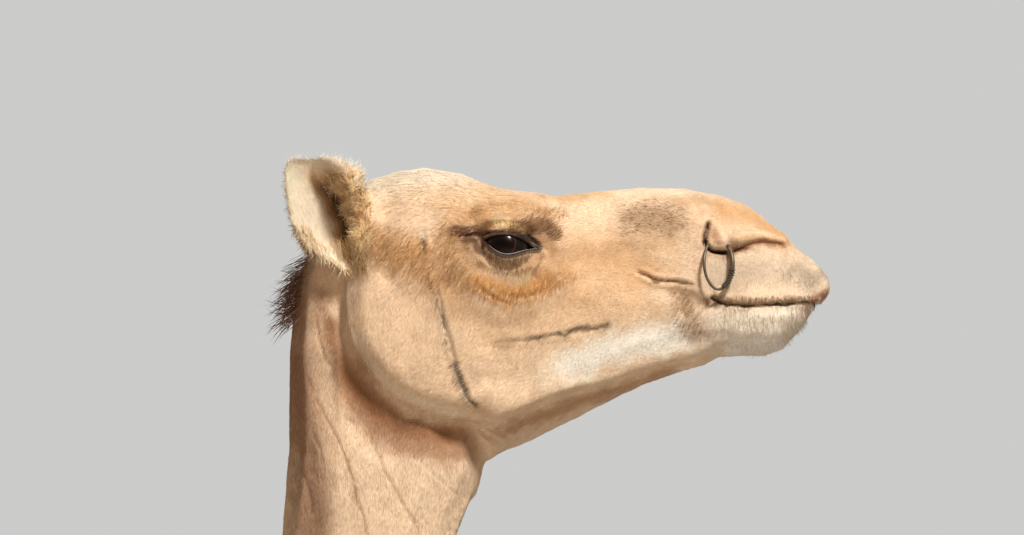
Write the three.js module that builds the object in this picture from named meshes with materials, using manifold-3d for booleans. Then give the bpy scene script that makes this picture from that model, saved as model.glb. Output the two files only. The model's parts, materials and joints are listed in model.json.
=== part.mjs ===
// A life-size standing dromedary camel with a wire ring in its right nostril.
// Millimetres. +X runs forward to the muzzle, +Y to the animal's left, +Z up.
// The soles stand on z = 0, and the origin is on the floor at the middle of the animal's length and width.
// The flesh is lofted whole, joined, and then parted by thin cuts into named pieces.
// Lengths along x are counted forward from the eyes until the finished model is moved onto its origin.
import * as THREE from 'three';
import { LoftGeometry } from 'three/addons/geometries/LoftGeometry.js';
import { mergeVertices } from 'three/addons/utils/BufferGeometryUtils.js';
import Module from 'manifold-3d';

const wasm = await Module();
wasm.setup();

// ---------------------------------------------------------------- driving sizes
const CUT = 0.5; // width of the thin cuts that part the flesh
const SEAT = 0.4; // clearance round a piece that is let into another
const HEAD_LEVEL = 2268; // height of the head's own level line, a little above the eyes
const FOOT_TOP = 128;
const HIP_HEIGHT = 1300; // below this a leg swings with its step
const EYE = { radius: 21, x: 0, y: 77, drop: 7, slitLength: 45, slitHeight: 18 };
const RING = { wire: 1.9, halfWidth: 15.5, halfHeight: 28.5, x: 229.5, drop: 21, outer: 55, lean: 15 };
const WINDING = { radius: 3.6, from: 0.29, to: 0.43 }; // the cord wound on the ring, as shares of a turn
const NOSTRIL = { x: 252, y: 50, drop: 5, length: 40, depth: 14, height: 4 };
const BREAST_PAD = { x: -925, z: 1034, radii: [96, 62, 34] };
const SIDES = { trunk: 22, neck: 14, head: 24, tail: 8, leg: 12, ring: 6, nail: 6, nostril: 8, ball: 10 }; // facets round
const FAR = { back: -2600, front: 700, top: 2600, floor: -50 }; // beyond the animal on every side
const RING_STEPS = { ring: 18, winding: 4 }; // facets along the wire

// ---------------------------------------------------------------- small maths
const TAU = Math.PI * 2;
const vec = (x, y, z) => new THREE.Vector3(x, y, z);
const cos = (turn) => Math.cos(turn * TAU);
const sin = (turn) => Math.sin(turn * TAU);

// ---------------------------------------------------------------- solids
// A closed geometry as a solid.
function solid(geometry) {
  const bare = new THREE.BufferGeometry();
  bare.setAttribute('position', geometry.attributes.position);
  bare.setIndex(geometry.index);
  const merged = mergeVertices(bare, 1e-3);
  const vertProperties = merged.attributes.position.array;
  const triVerts = new Uint32Array(merged.index.array);
  return new wasm.Manifold(new wasm.Mesh({ numProp: 3, vertProperties, triVerts }));
}

const middle = (ring) => ring.reduce((sum, p) => sum.add(p), vec(0, 0, 0)).divideScalar(ring.length);

// A skin through rings, which are turned to run counterclockwise as seen from the loft's far end.
function loft(rings, caps = true) {
  const centre = middle(rings[0]);
  const along = middle(rings[1]).sub(centre);
  const normal = vec(0, 0, 0);
  rings[0].forEach((p, i) => {
    const next = rings[0][(i + 1) % rings[0].length];
    normal.add(p.clone().sub(centre).cross(next.clone().sub(centre)));
  });
  const sections = normal.dot(along) > 0 ? rings : rings.map((ring) => [...ring].reverse());
  return solid(new LoftGeometry(sections, { capStart: caps, capEnd: caps }));
}

// A ball or egg: its three radii, its centre and its facets round.
function ball(radii, at, around = SIDES.ball) {
  const geometry = new THREE.SphereGeometry(1, around, Math.round(around * 0.7));
  geometry.scale(...radii);
  geometry.translate(...at);
  return solid(geometry);
}

// A block whose side view is an outline in (x, z), between two widths.
function block(outline, yFrom, yTo) {
  const shape = new THREE.Shape(outline.map(([x, z]) => new THREE.Vector2(x, z)));
  const geometry = new THREE.ExtrudeGeometry(shape, { depth: yTo - yFrom, bevelEnabled: false });
  geometry.rotateX(Math.PI / 2);
  geometry.translate(0, yTo, 0);
  return solid(geometry);
}

// The same outline with every side moved out by a distance.
function widen(outline, distance) {
  const turn = THREE.ShapeUtils.area(outline.map(([x, z]) => new THREE.Vector2(x, z))) > 0 ? 1 : -1;
  return outline.map((point, i) => {
    const before = outline[(i + outline.length - 1) % outline.length];
    const after = outline[(i + 1) % outline.length];
    const a = new THREE.Vector2(point[0] - before[0], point[1] - before[1]).normalize();
    const b = new THREE.Vector2(after[0] - point[0], after[1] - point[1]).normalize();
    const normal = new THREE.Vector2(a.y + b.y, -a.x - b.x).normalize().multiplyScalar(turn);
    const squareness = Math.max(0.3, turn * (normal.x * a.y - normal.y * a.x));
    return [point[0] + (normal.x * distance) / squareness, point[1] + (normal.y * distance) / squareness];
  });
}

// A cutter that grows by a given distance, made from an outline in side view and two widths.
const cutter = (outline, yFrom = -900, yTo = 900) => (grow) => block(widen(outline, grow), yFrom - grow, yTo + grow);

// Parts a body: what lies in the cutter, and the rest less a thin cut round it.
const part = (body, cut) => [body.intersect(cut(0)), body.subtract(cut(CUT))];

// ---------------------------------------------------------------- rings
// A station is [x, top, bottom, ...[half-width, height] of the points down one side].
const station = (x, top, bottom, ...sides) => [x, top, bottom, ...sides.flat()];

// Upright rings along x, smooth through the points of each station.
function uprightRings(stations, count, level = 0) {
  return stations.map(([x, top, bottom, ...pairs]) => {
    const side = [];
    for (let k = 0; k < pairs.length; k += 2) side.push([pairs[k], pairs[k + 1]]);
    const mirrored = side.map(([y, z]) => [-y, z]).reverse();
    const around = [[0, top], ...side, [0, bottom], ...mirrored].map(([y, z]) => vec(x, y, z + level));
    return new THREE.CatmullRomCurve3(around, true, 'centripetal').getSpacedPoints(count).slice(0, count);
  });
}

// A station of a limb is [x, z, half-depth fore and aft, half-width, y]. The rings stand square to the
// limb's line in side view, and a fullness under 1 squares them.
const limb = (x, z, depth, width, y = 0) => [x, z, depth, width, y];

function limbRings(stations, count, fullness, grow = 0) {
  return stations.map(([x, z, depth, width, y], i) => {
    const before = stations[Math.max(i - 1, 0)];
    const after = stations[Math.min(i + 1, stations.length - 1)];
    const along = new THREE.Vector2(after[0] - before[0], after[1] - before[1]).normalize();
    const ring = [];
    for (let k = 0; k < count; k++) {
      const c = cos((k + 0.5) / count);
      const s = sin((k + 0.5) / count);
      const fore = Math.sign(c) * Math.abs(c) ** fullness * (depth + grow);
      const side = Math.sign(s) * Math.abs(s) ** fullness * (width + grow);
      ring.push(vec(x - along.y * fore, y + side, z + along.x * fore));
    }
    return ring;
  });
}

// ---------------------------------------------------------------- head
// Heights from the head's level line.
const HEAD_STATIONS = [
  station(-206, 30, -40, [20, 24], [34, 4], [34, -18], [22, -34]),
  station(-178, 62, -84, [36, 50], [56, 10], [58, -34], [40, -72]),
  station(-148, 79, -126, [44, 64], [70, 20], [72, -50], [54, -106]),
  station(-118, 88, -156, [46, 74], [78, 26], [81, -60], [64, -130]),
  station(-88, 91, -178, [48, 77], [83, 24], [84, -70], [66, -150]),
  station(-46, 84, -204, [54, 68], [91, 18], [84, -76], [61, -176]),
  station(-8, 71, -222, [66, 57], [98, 8], [81, -76], [54, -190]),
  station(26, 64, -208, [62, 51], [92, -4], [75, -74], [49, -178]),
  station(54, 60, -194, [42, 48], [72, -4], [66, -70], [45, -164]),
  station(104, 66, -170, [33, 55], [54, 0], [55, -60], [41, -142]),
  station(150, 70, -147, [31, 58], [48, 4], [49, -52], [39, -122]),
  station(195, 69, -131, [31, 54], [46, 6], [46, -46], [37, -110]),
  station(236, 61, -120, [32, 44], [48, 4], [47, -44], [39, -100]),
  station(262, 52, -119, [30, 34], [47, -4], [47, -48], [41, -99]),
  station(282, 38, -119, [28, 22], [44, -12], [46, -52], [40, -99]),
  station(303, 22, -111, [25, 8], [39, -20], [42, -50], [36, -92]),
  station(322, 0, -91, [21, -11], [34, -30], [37, -50], [30, -78]),
  station(337, -10, -68, [18, -19], [29, -33], [30, -48], [24, -61]),
  station(350, -23, -58, [11, -28], [19, -36], [20, -47], [13, -54]),
  station(356, -34, -49, [4, -37], [7, -40], [7, -44], [4, -47]),
];

// The slit of a closed nostril, let into the side of the muzzle.
function nostrilSlit(side) {
  const at = [NOSTRIL.x, side * NOSTRIL.y, HEAD_LEVEL - NOSTRIL.drop];
  return ball([NOSTRIL.length, NOSTRIL.depth, NOSTRIL.height], at, SIDES.nostril);
}

// The ear is a rolled leaf: a C of wall round a hollow that opens forward and out.
const EAR = { root: [-176, 56, -14], lean: [-66, 42, 98], wall: 6, halfWidth: 42, halfDepth: 26 };
const EAR_PIECE = { length: 112, width: 54, middle: 0.82, back: 3 }; // the box in which the ear is a piece of its own
const EAR_OPENING = { from: -0.07, to: 0.23, arcSteps: 7 }; // turns from straight ahead towards the outside
const EAR_LEAF = [
  // share of the length, share of the width, shift forward
  [0, 0.62, -2],
  [0.14, 0.78, 0],
  [0.32, 0.92, 5],
  [0.5, 1, 9],
  [0.66, 0.94, 12],
  [0.8, 0.7, 13],
  [0.92, 0.4, 8],
  [1, 0.16, 4],
];

function earFrame(side) {
  const axis = vec(EAR.lean[0], side * EAR.lean[1], EAR.lean[2]);
  const up = axis.clone().normalize();
  const out = vec(0, side, 0).addScaledVector(up, -side * up.y).normalize();
  const fore = vec(1, 0, 0).addScaledVector(up, -up.x).addScaledVector(out, -out.x).normalize();
  const root = vec(EAR.root[0], side * EAR.root[1], HEAD_LEVEL + EAR.root[2]);
  return { axis, up, out, fore, root };
}

function earFlesh(side) {
  const { axis, out, fore, root } = earFrame(side);
  const rings = EAR_LEAF.map(([along, share, shift]) => {
    const centre = root.clone().addScaledVector(axis, along).addScaledVector(fore, shift);
    const at = (step, inset) => {
      const turn = THREE.MathUtils.lerp(EAR_OPENING.to, 1 + EAR_OPENING.from, step / EAR_OPENING.arcSteps);
      const ahead = cos(turn) * (EAR.halfWidth * share - inset);
      const aside = sin(turn) * (EAR.halfDepth * share - inset);
      return centre.clone().addScaledVector(fore, ahead).addScaledVector(out, aside);
    };
    const ring = [];
    for (let k = 0; k <= EAR_OPENING.arcSteps; k++) ring.push(at(k, 0));
    for (let k = EAR_OPENING.arcSteps; k >= 0; k--) ring.push(at(k, Math.min(EAR.wall, EAR.halfDepth * share * 0.7)));
    return ring;
  });
  return loft(rings);
}

// The ear is cut off square to its own length, a little above its root.
const earCutter = (side) => (grow) => {
  const { axis, up, out, fore, root } = earFrame(side);
  const reach = axis.length();
  const box = new THREE.BoxGeometry(EAR_PIECE.length + 2 * grow, EAR_PIECE.width + 2 * grow, reach + 2 * grow);
  box.applyMatrix4(new THREE.Matrix4().makeBasis(fore, out.clone().multiplyScalar(side), up));
  const centre = root.clone().addScaledVector(up, reach * EAR_PIECE.middle).addScaledVector(fore, -EAR_PIECE.back);
  box.translate(centre.x, centre.y, centre.z);
  return solid(box);
};

// ---------------------------------------------------------------- neck, trunk and tail
const NECK_STATIONS = [
  limb(-150, 2312, 34, 36),
  limb(-156, 2280, 56, 48),
  limb(-160, 2236, 74, 56),
  limb(-144, 2172, 99, 62),
  limb(-131, 2100, 111, 65),
  limb(-132, 2036, 110, 66),
  limb(-148, 1955, 100, 66),
  limb(-158, 1860, 98, 67),
  limb(-184, 1745, 104, 70),
  limb(-246, 1620, 115, 76),
  limb(-350, 1520, 132, 84),
  limb(-480, 1462, 156, 95),
  limb(-620, 1440, 192, 114),
  limb(-760, 1450, 236, 140),
];

const TRUNK_STATIONS = [
  station(-596, 1560, 1290, [40, 1530], [66, 1480], [76, 1420], [70, 1370], [46, 1316]),
  station(-650, 1640, 1226, [54, 1598], [98, 1526], [120, 1430], [110, 1336], [72, 1258]),
  station(-730, 1752, 1124, [64, 1698], [138, 1590], [172, 1440], [156, 1284], [100, 1170]),
  station(-830, 1838, 1050, [66, 1786], [156, 1660], [212, 1460], [196, 1260], [120, 1104]),
  station(-960, 1868, 1024, [72, 1816], [176, 1700], [246, 1480], [234, 1260], [146, 1084]),
  station(-1080, 1906, 1032, [80, 1840], [196, 1720], [272, 1490], [260, 1270], [166, 1100]),
  station(-1190, 2006, 1050, [84, 1912], [206, 1730], [288, 1496], [276, 1280], [178, 1122]),
  station(-1300, 2096, 1076, [90, 1982], [212, 1736], [294, 1500], [282, 1300], [184, 1150]),
  station(-1410, 2136, 1110, [94, 2012], [214, 1740], [292, 1506], [278, 1320], [180, 1184]),
  station(-1520, 2112, 1162, [90, 1990], [212, 1738], [282, 1516], [266, 1350], [172, 1232]),
  station(-1620, 2022, 1226, [86, 1920], [208, 1734], [262, 1530], [246, 1390], [158, 1296]),
  station(-1720, 1904, 1296, [94, 1836], [206, 1744], [240, 1556], [222, 1430], [140, 1358]),
  station(-1830, 1826, 1360, [104, 1790], [200, 1716], [222, 1580], [198, 1476], [122, 1412]),
  station(-1940, 1772, 1412, [92, 1738], [176, 1664], [194, 1580], [166, 1506], [100, 1456]),
  station(-2030, 1704, 1452, [70, 1678], [130, 1620], [146, 1566], [122, 1510], [74, 1480]),
  station(-2086, 1634, 1510, [34, 1618], [60, 1592], [66, 1566], [54, 1540], [32, 1524]),
];

const TAIL_STATIONS = [
  limb(-2020, 1606, 30, 30),
  limb(-2078, 1588, 28, 30),
  limb(-2114, 1530, 24, 28),
  limb(-2128, 1440, 19, 24),
  limb(-2130, 1340, 16, 20),
  limb(-2126, 1250, 18, 21),
  limb(-2122, 1170, 24, 25),
  limb(-2120, 1100, 20, 21),
  limb(-2120, 1054, 6, 6),
];

// ---------------------------------------------------------------- legs
const FORELEG_STATIONS = [
  limb(-960, 1710, 60, 20, 84),
  limb(-930, 1620, 112, 42, 120),
  limb(-878, 1510, 144, 62, 148),
  limb(-838, 1390, 150, 74, 161),
  limb(-842, 1266, 134, 80, 166),
  limb(-868, 1150, 108, 72, 164),
  limb(-870, 1030, 82, 58, 159),
  limb(-858, 880, 60, 50, 155),
  limb(-846, 740, 50, 46, 152),
  limb(-836, 650, 57, 55, 150),
  limb(-838, 580, 54, 53, 150),
  limb(-845, 500, 42, 41, 150),
  limb(-849, 400, 35, 34, 151),
  limb(-850, 300, 34, 33, 152),
  limb(-846, 212, 43, 43, 154),
  limb(-838, 150, 45, 49, 156),
  limb(-824, 100, 60, 62, 157),
  limb(-812, 62, 84, 80, 158),
  limb(-806, 26, 97, 91, 158),
  limb(-806, 0, 93, 87, 158),
];

const HINDLEG_STATIONS = [
  limb(-1852, 1700, 60, 20, 80),
  limb(-1880, 1615, 128, 50, 126),
  limb(-1884, 1490, 166, 76, 147),
  limb(-1848, 1340, 162, 82, 152),
  limb(-1820, 1206, 132, 76, 153),
  limb(-1822, 1090, 100, 64, 150),
  limb(-1860, 970, 76, 52, 147),
  limb(-1912, 840, 58, 43, 144),
  limb(-1958, 730, 56, 41, 142),
  limb(-1970, 650, 56, 45, 141),
  limb(-1966, 570, 48, 41, 141),
  limb(-1956, 440, 37, 34, 142),
  limb(-1949, 310, 34, 32, 144),
  limb(-1944, 212, 41, 41, 145),
  limb(-1936, 150, 42, 45, 146),
  limb(-1923, 100, 54, 56, 147),
  limb(-1911, 62, 76, 73, 148),
  limb(-1905, 26, 88, 82, 148),
  limb(-1905, 0, 84, 78, 148),
];

// Each leg is stepped a little forward or back from square, as an animal stands at ease.
const LEGS = [
  { name: 'fore_right', stations: FORELEG_STATIONS, side: -1, step: 34, knee: 615 },
  { name: 'fore_left', stations: FORELEG_STATIONS, side: 1, step: -38, knee: 615 },
  { name: 'hind_right', stations: HINDLEG_STATIONS, side: -1, step: -46, knee: 690 },
  { name: 'hind_left', stations: HINDLEG_STATIONS, side: 1, step: 52, knee: 690 },
];
const CLEFT = { length: 60, width: 9, height: 74, overrun: 12, slope: 20 };
const NAIL = { radii: [18, 19, 15], spread: 0.46, z: 30, back: 12 };

// A leg's stations where the leg stands.
function placed({ stations, side, step }) {
  const swing = (z) => step * Math.min(1, Math.max(0, (HIP_HEIGHT - z) / HIP_HEIGHT));
  return stations.map(([x, z, depth, width, y]) => [x + swing(z), z, depth, width, side * y]);
}

// The last rings of a leg lie level, so that the sole is one flat.
function legFlesh(leg, grow = 0) {
  const stations = placed(leg);
  stations[0][1] += grow;
  const rings = limbRings(stations, SIDES.leg, 0.9, grow);
  for (const i of [rings.length - 2, rings.length - 1]) rings[i].forEach((p) => p.setZ(stations[i][1]));
  return loft(rings);
}

// The sole's middle, and how far its front edge is ahead of that.
function soleOf(leg) {
  const [x, , reach, , y] = placed(leg).at(-1);
  return { x, y, reach };
}

function toeCleft(leg) {
  const { x, y, reach } = soleOf(leg);
  const tip = x + reach + CLEFT.overrun;
  const back = tip - CLEFT.length;
  const outline = [[back, FAR.floor], [tip, FAR.floor], [tip, CLEFT.height], [back + CLEFT.slope, CLEFT.height]];
  return block(outline, y - CLEFT.width / 2, y + CLEFT.width / 2);
}

function nail(leg, toe, grow = 0) {
  const { x, y, reach } = soleOf(leg);
  return ball(NAIL.radii.map((r) => r + grow), [x + reach - NAIL.back, y + toe * reach * NAIL.spread, NAIL.z], SIDES.nail);
}

// ---------------------------------------------------------------- eyes and ring
const eyeCentre = (side) => [EYE.x, side * EYE.y, HEAD_LEVEL - EYE.drop];
const eyeBall = (side, grow = 0) => ball(Array(3).fill(EYE.radius + grow), eyeCentre(side));

// The opening between the lids: an almond, nearly straight along its upper edge.
function eyeSlit(side) {
  const [x, , z] = eyeCentre(side);
  const half = EYE.slitLength / 2;
  const shape = new THREE.Shape();
  shape.moveTo(x - half, z + 3);
  shape.quadraticCurveTo(x, z + EYE.slitHeight * 0.75, x + half, z - 1);
  shape.quadraticCurveTo(x - 2, z - EYE.slitHeight * 1.2, x - half, z + 3);
  const outline = shape.getPoints(5).slice(0, -1).map((p) => [p.x, p.y]);
  return block(outline, Math.min(side * EYE.y, side * 140), Math.max(side * EYE.y, side * 140));
}

// The ring's line at a share of its turn: it hangs flat on the muzzle and leans into the nostril at its top.
function ringPoint(turn) {
  const rise = cos(turn);
  const inward = RING.lean * Math.max(0, rise + 0.15) ** 2;
  const across = sin(turn) * RING.halfWidth;
  return vec(RING.x + across, -RING.outer + inward, HEAD_LEVEL - RING.drop + rise * RING.halfHeight);
}

// A round tube along part or all of the ring.
function ringTube(radius, from, to, steps) {
  const whole = to - from === 1;
  const count = SIDES.ring;
  const rings = [];
  for (let i = 0; i <= steps; i++) {
    const turn = from + ((to - from) * (whole ? i % steps : i)) / steps;
    const along = ringPoint(turn + 0.005).sub(ringPoint(turn - 0.005)).normalize();
    const out = vec(0, 1, 0).addScaledVector(along, -along.y).normalize();
    const across = vec(0, 0, 0).crossVectors(along, out);
    const around = (k) => out.clone().multiplyScalar(cos(k / count)).addScaledVector(across, sin(k / count));
    rings.push(Array.from({ length: count }, (_, k) => ringPoint(turn).addScaledVector(around(k), radius)));
  }
  return loft(rings, !whole);
}

const ring = (grow = 0) => ringTube(RING.wire + grow, 0, 1, RING_STEPS.ring);
const winding = (grow = 0) => ringTube(WINDING.radius + grow, WINDING.from, WINDING.to, RING_STEPS.winding);

// ---------------------------------------------------------------- the flesh, joined, with its seats cut
const [earRight, earRightRoot] = part(earFlesh(-1), earCutter(-1));
const [earLeft, earLeftRoot] = part(earFlesh(1), earCutter(1));
let flesh = loft(uprightRings(TRUNK_STATIONS, SIDES.trunk))
  .add(loft(limbRings(NECK_STATIONS, SIDES.neck, 0.95)))
  .add(loft(uprightRings(HEAD_STATIONS, SIDES.head, HEAD_LEVEL)))
  .add(loft(limbRings(TAIL_STATIONS, SIDES.tail, 1)))
  .add(earRightRoot)
  .add(earLeftRoot);
for (const side of [-1, 1]) {
  flesh = flesh.subtract(nostrilSlit(side)).subtract(eyeBall(side, SEAT)).subtract(eyeSlit(side));
}
flesh = flesh.subtract(ring(SEAT)).subtract(winding(SEAT));
flesh = flesh.subtract(ball(BREAST_PAD.radii.map((r) => r + SEAT), [BREAST_PAD.x, 0, BREAST_PAD.z]));
for (const leg of LEGS) flesh = flesh.subtract(legFlesh(leg, SEAT));

// ---------------------------------------------------------------- where the flesh is parted, in side view
const up = (height) => HEAD_LEVEL + height;
const HEAD_CUT = [
  [-400, FAR.top], [-400, up(-22)], [-240, up(-24)], [-196, up(-72)], [-146, up(-142)], [-86, up(-194)], [-24, up(-252)],
  [FAR.front, up(-252)], [FAR.front, FAR.top],
];
const JAW_CUT = [
  [-14, up(-300)], [-12, up(-176)], [60, up(-124)], [150, up(-86)], [206, up(-64)], [300, up(-66)], [400, up(-60)],
  [400, up(-300)],
];
const HUMP_CUT = [
  [-1000, 1900], [-1150, 1896], [-1420, 1886], [-1650, 1876], [-1780, 1880], [-1780, FAR.top], [-1000, FAR.top],
];
const TAIL_CUT = [[-2098, 1640], [-2090, 1480], [-2060, 1000], [-2260, 1000], [-2260, 1640]];
const UPPER_NECK_CUT = [[-500, 1900], [FAR.front, 1900], [FAR.front, FAR.top], [-500, FAR.top]];
const MIDDLE_NECK_CUT = [[-500, 1730], [100, 1400], [FAR.front, 1400], [FAR.front, FAR.top], [-500, FAR.top]];
const NECK_BASE_CUT = [[-590, 1800], [-606, 1640], [-606, 1200], [FAR.front, 1200], [FAR.front, 1800]];
const below = (height) => [[FAR.back, FAR.floor], [FAR.front, FAR.floor], [FAR.front, height], [FAR.back, height]];

// ---------------------------------------------------------------- parting
const pieces = new Map([['ear_right', earRight], ['ear_left', earLeft]]);
let rest = flesh;

function take(name, cut) {
  const [inside, left] = part(rest, cut);
  pieces.set(name, inside);
  rest = left;
}

take('head', cutter(HEAD_CUT));
const [jaw, skull] = part(pieces.get('head'), cutter(JAW_CUT));
pieces.set('head', skull);
pieces.set('lower_jaw', jaw);
take('neck_upper', cutter(UPPER_NECK_CUT));
take('neck_middle', cutter(MIDDLE_NECK_CUT));
take('neck_base', cutter(NECK_BASE_CUT));
take('hump', cutter(HUMP_CUT));
take('tail', cutter(TAIL_CUT));
pieces.set('trunk', rest);

for (const leg of LEGS) {
  let whole = legFlesh(leg).subtract(toeCleft(leg));
  for (const toe of [-1, 1]) {
    whole = whole.subtract(nail(leg, toe, SEAT));
    pieces.set(`nail_${leg.name}_${toe * leg.side > 0 ? 'outer' : 'inner'}`, nail(leg, toe));
  }
  const [foot, shank] = part(whole, cutter(below(FOOT_TOP)));
  const [lower, upper] = part(shank, cutter(below(leg.knee)));
  pieces.set(`foot_${leg.name}`, foot);
  pieces.set(`lower_leg_${leg.name}`, lower);
  pieces.set(`upper_leg_${leg.name}`, upper);
}

for (const [side, name] of [[-1, 'right'], [1, 'left']]) pieces.set(`eye_${name}`, eyeBall(side));
pieces.set('breast_pad', ball(BREAST_PAD.radii, [BREAST_PAD.x, 0, BREAST_PAD.z]));
pieces.set('nose_ring', ring());
pieces.set('ring_winding', winding().subtract(ring(SEAT)));

// ---------------------------------------------------------------- materials
const finish = (color, roughness, metalness = 0) => new THREE.MeshStandardMaterial({ color, roughness, metalness });
const FINISHES = {
  coat: finish(0xdcc3a0, 0.9),
  eye: finish(0x20130d, 0.12),
  nail: finish(0x4a3a2e, 0.5),
  pad: finish(0x6b5644, 0.85),
  ring: finish(0x77736a, 0.4, 1),
  winding: finish(0x4d4538, 0.7),
};
const finishOf = (name) => {
  if (name.startsWith('eye_')) return FINISHES.eye;
  if (name.startsWith('nail_')) return FINISHES.nail;
  if (name === 'breast_pad') return FINISHES.pad;
  if (name === 'nose_ring') return FINISHES.ring;
  return name === 'ring_winding' ? FINISHES.winding : FINISHES.coat;
};

function meshOf(name, piece) {
  const { vertProperties, triVerts, numProp } = piece.getMesh();
  const position = new Float32Array((vertProperties.length / numProp) * 3);
  for (let i = 0; i < position.length / 3; i++) position.set(vertProperties.subarray(i * numProp, i * numProp + 3), i * 3);
  const geometry = new THREE.BufferGeometry();
  geometry.setAttribute('position', new THREE.BufferAttribute(position, 3));
  geometry.setIndex(new THREE.BufferAttribute(triVerts, 1));
  geometry.computeVertexNormals();
  const mesh = new THREE.Mesh(geometry, finishOf(name));
  mesh.name = name;
  return mesh;
}

const camel = new THREE.Group();
for (const [name, piece] of pieces) camel.add(meshOf(name, piece));

// The origin is under the middle of the model's length.
const size = new THREE.Box3().setFromObject(camel);
camel.position.x = -(size.min.x + size.max.x) / 2;

export default camel;
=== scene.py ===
"""Dresses a life-size standing dromedary camel: skin, coat, eyes, nails, callus and nose ring.

Everything stands in the row frame, in metres: +X forward to the muzzle, +Y to the animal's left, +Z up.
The head's details are placed in head millimetres: x forward from the eyes, z up from the head's level line.
"""

from __future__ import annotations

import json
import logging
import math
from collections.abc import Iterable, Sequence
from dataclasses import dataclass, fields, replace
from enum import IntEnum

import bmesh
import bpy
import numpy as np
from mathutils import Matrix, Vector

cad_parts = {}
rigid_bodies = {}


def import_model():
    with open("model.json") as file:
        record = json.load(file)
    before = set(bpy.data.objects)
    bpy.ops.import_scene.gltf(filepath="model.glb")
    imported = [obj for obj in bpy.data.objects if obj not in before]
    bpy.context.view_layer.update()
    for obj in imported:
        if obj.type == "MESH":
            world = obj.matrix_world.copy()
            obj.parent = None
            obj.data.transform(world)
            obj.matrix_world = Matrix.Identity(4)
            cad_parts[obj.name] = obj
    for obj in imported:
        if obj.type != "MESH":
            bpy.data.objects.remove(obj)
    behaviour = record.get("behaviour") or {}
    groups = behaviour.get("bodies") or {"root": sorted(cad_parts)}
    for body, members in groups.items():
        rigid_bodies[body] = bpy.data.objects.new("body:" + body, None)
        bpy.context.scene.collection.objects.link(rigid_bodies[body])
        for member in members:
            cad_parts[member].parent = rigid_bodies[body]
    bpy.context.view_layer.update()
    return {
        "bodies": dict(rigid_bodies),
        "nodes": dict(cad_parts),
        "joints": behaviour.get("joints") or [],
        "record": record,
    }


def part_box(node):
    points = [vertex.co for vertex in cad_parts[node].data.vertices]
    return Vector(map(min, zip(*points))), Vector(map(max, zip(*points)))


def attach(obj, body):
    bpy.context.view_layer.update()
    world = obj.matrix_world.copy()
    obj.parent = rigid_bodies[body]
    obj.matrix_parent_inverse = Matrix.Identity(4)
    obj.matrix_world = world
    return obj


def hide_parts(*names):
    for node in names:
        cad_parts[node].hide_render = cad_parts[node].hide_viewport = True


LOG = logging.getLogger("camel")

MM = 0.001
EYES_X = 0.8947  # where the eyes are along the row
LEVEL_Z = 2.268  # the head's level line
NECK_SEAM_Z = 1.925  # the fine skin of the head joins the coarser skin of the body here
NECK_X = 0.4  # the neck is forward of here at that height

Path = tuple[float, ...]  # x and z of each point in turn, in head millimetres
Colour = tuple[int, int, int]
Spot = tuple[float, float, float]
Array = np.ndarray
Places = np.ndarray
Mesh = bpy.types.Mesh
Thing = bpy.types.Object
Material = bpy.types.Material
Shape = bmesh.types.BMesh
Socket = bpy.types.NodeSocket
Node = bpy.types.Node
Tree = bpy.types.NodeTree


class Side(IntEnum):
    """The animal's sides, each the sign that Y has there."""

    RIGHT = -1
    LEFT = 1

    @property
    def word(self) -> str:
        """The side as pieces are named."""
        return self.name.lower()


# ---- numbers


def ease(share: Array) -> Array:
    """A smooth step from 0 to 1."""
    held = np.clip(share, 0.0, 1.0)
    return held * held * (3.0 - 2.0 * held)


def unit(vectors: Array) -> Array:
    """The same directions at length 1."""
    return vectors / np.maximum(np.linalg.norm(vectors, axis=1, keepdims=True), 1e-9)


def grain(places: Places, size: float, seed: int = 0) -> Array:
    """Smooth noise from -1 to 1.

    Args:
        places: the points to read it at, in metres.
        size: the size of its lumps, in metres.
        seed: which noise it is.

    Returns:
        One value for each point.
    """
    spot = places / size
    cell = np.floor(spot).astype(np.int64)
    part = ease(spot - cell)
    total = np.zeros(len(places))
    for corner in range(8):
        step = np.array([corner & 1, corner >> 1 & 1, corner >> 2 & 1])
        at = cell + step
        mixed = (at[:, 0] * 374761393 + at[:, 1] * 668265263 + at[:, 2] * 1440662683 + seed * 974634777) & 0xFFFFFFFF
        mixed = ((mixed ^ (mixed >> 13)) * 1274126177) & 0xFFFFFFFF
        mixed ^= mixed >> 16
        total += np.prod(np.where(step == 1, part, 1.0 - part), axis=1) * (mixed / 2147483648.0 - 1.0)
    return total


def linear(colour: Colour) -> Array:
    """A screen colour as the linear values that shaders work with."""
    share = np.array(colour) / 255.0
    return np.where(share <= 0.04045, share / 12.92, ((share + 0.055) / 1.055) ** 2.4)


def pairs(path: Path | Array) -> Array:
    """A path's points, one to a row."""
    return np.reshape(path, (-1, 2)).astype(float)


def curve(points: Sequence[Sequence[float]] | Array, steps: int) -> Array:
    """A smooth curve through a few points.

    Args:
        points: the points, in two or three numbers each.
        steps: how many pieces each span gets.

    Returns:
        The curve's points in order.
    """
    knots = np.array(points, dtype=float)
    padded = np.vstack([2 * knots[0] - knots[1], knots, 2 * knots[-1] - knots[-2]])
    found = []
    for i in range(1, len(padded) - 2):
        a, b, c, d = padded[i - 1 : i + 3]
        for t in np.arange(steps) / steps:
            found.append(b + 0.5 * t * (c - a + t * (2 * a - 5 * b + 4 * c - d + t * (3 * (b - c) + d - a))))
    found.append(padded[-2])
    return np.array(found)


def head_xz(places: Places) -> Array:
    """Where points are in the head's side view, in head millimetres."""
    return np.stack([(places[:, 0] - EYES_X) / MM, (places[:, 2] - LEVEL_Z) / MM], axis=1)


def head_point(x: float, y: float, z: float) -> Vector:
    """A point of the head, in head millimetres, as a place in the row."""
    return Vector((x * MM + EYES_X, y * MM, z * MM + LEVEL_Z))


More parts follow.
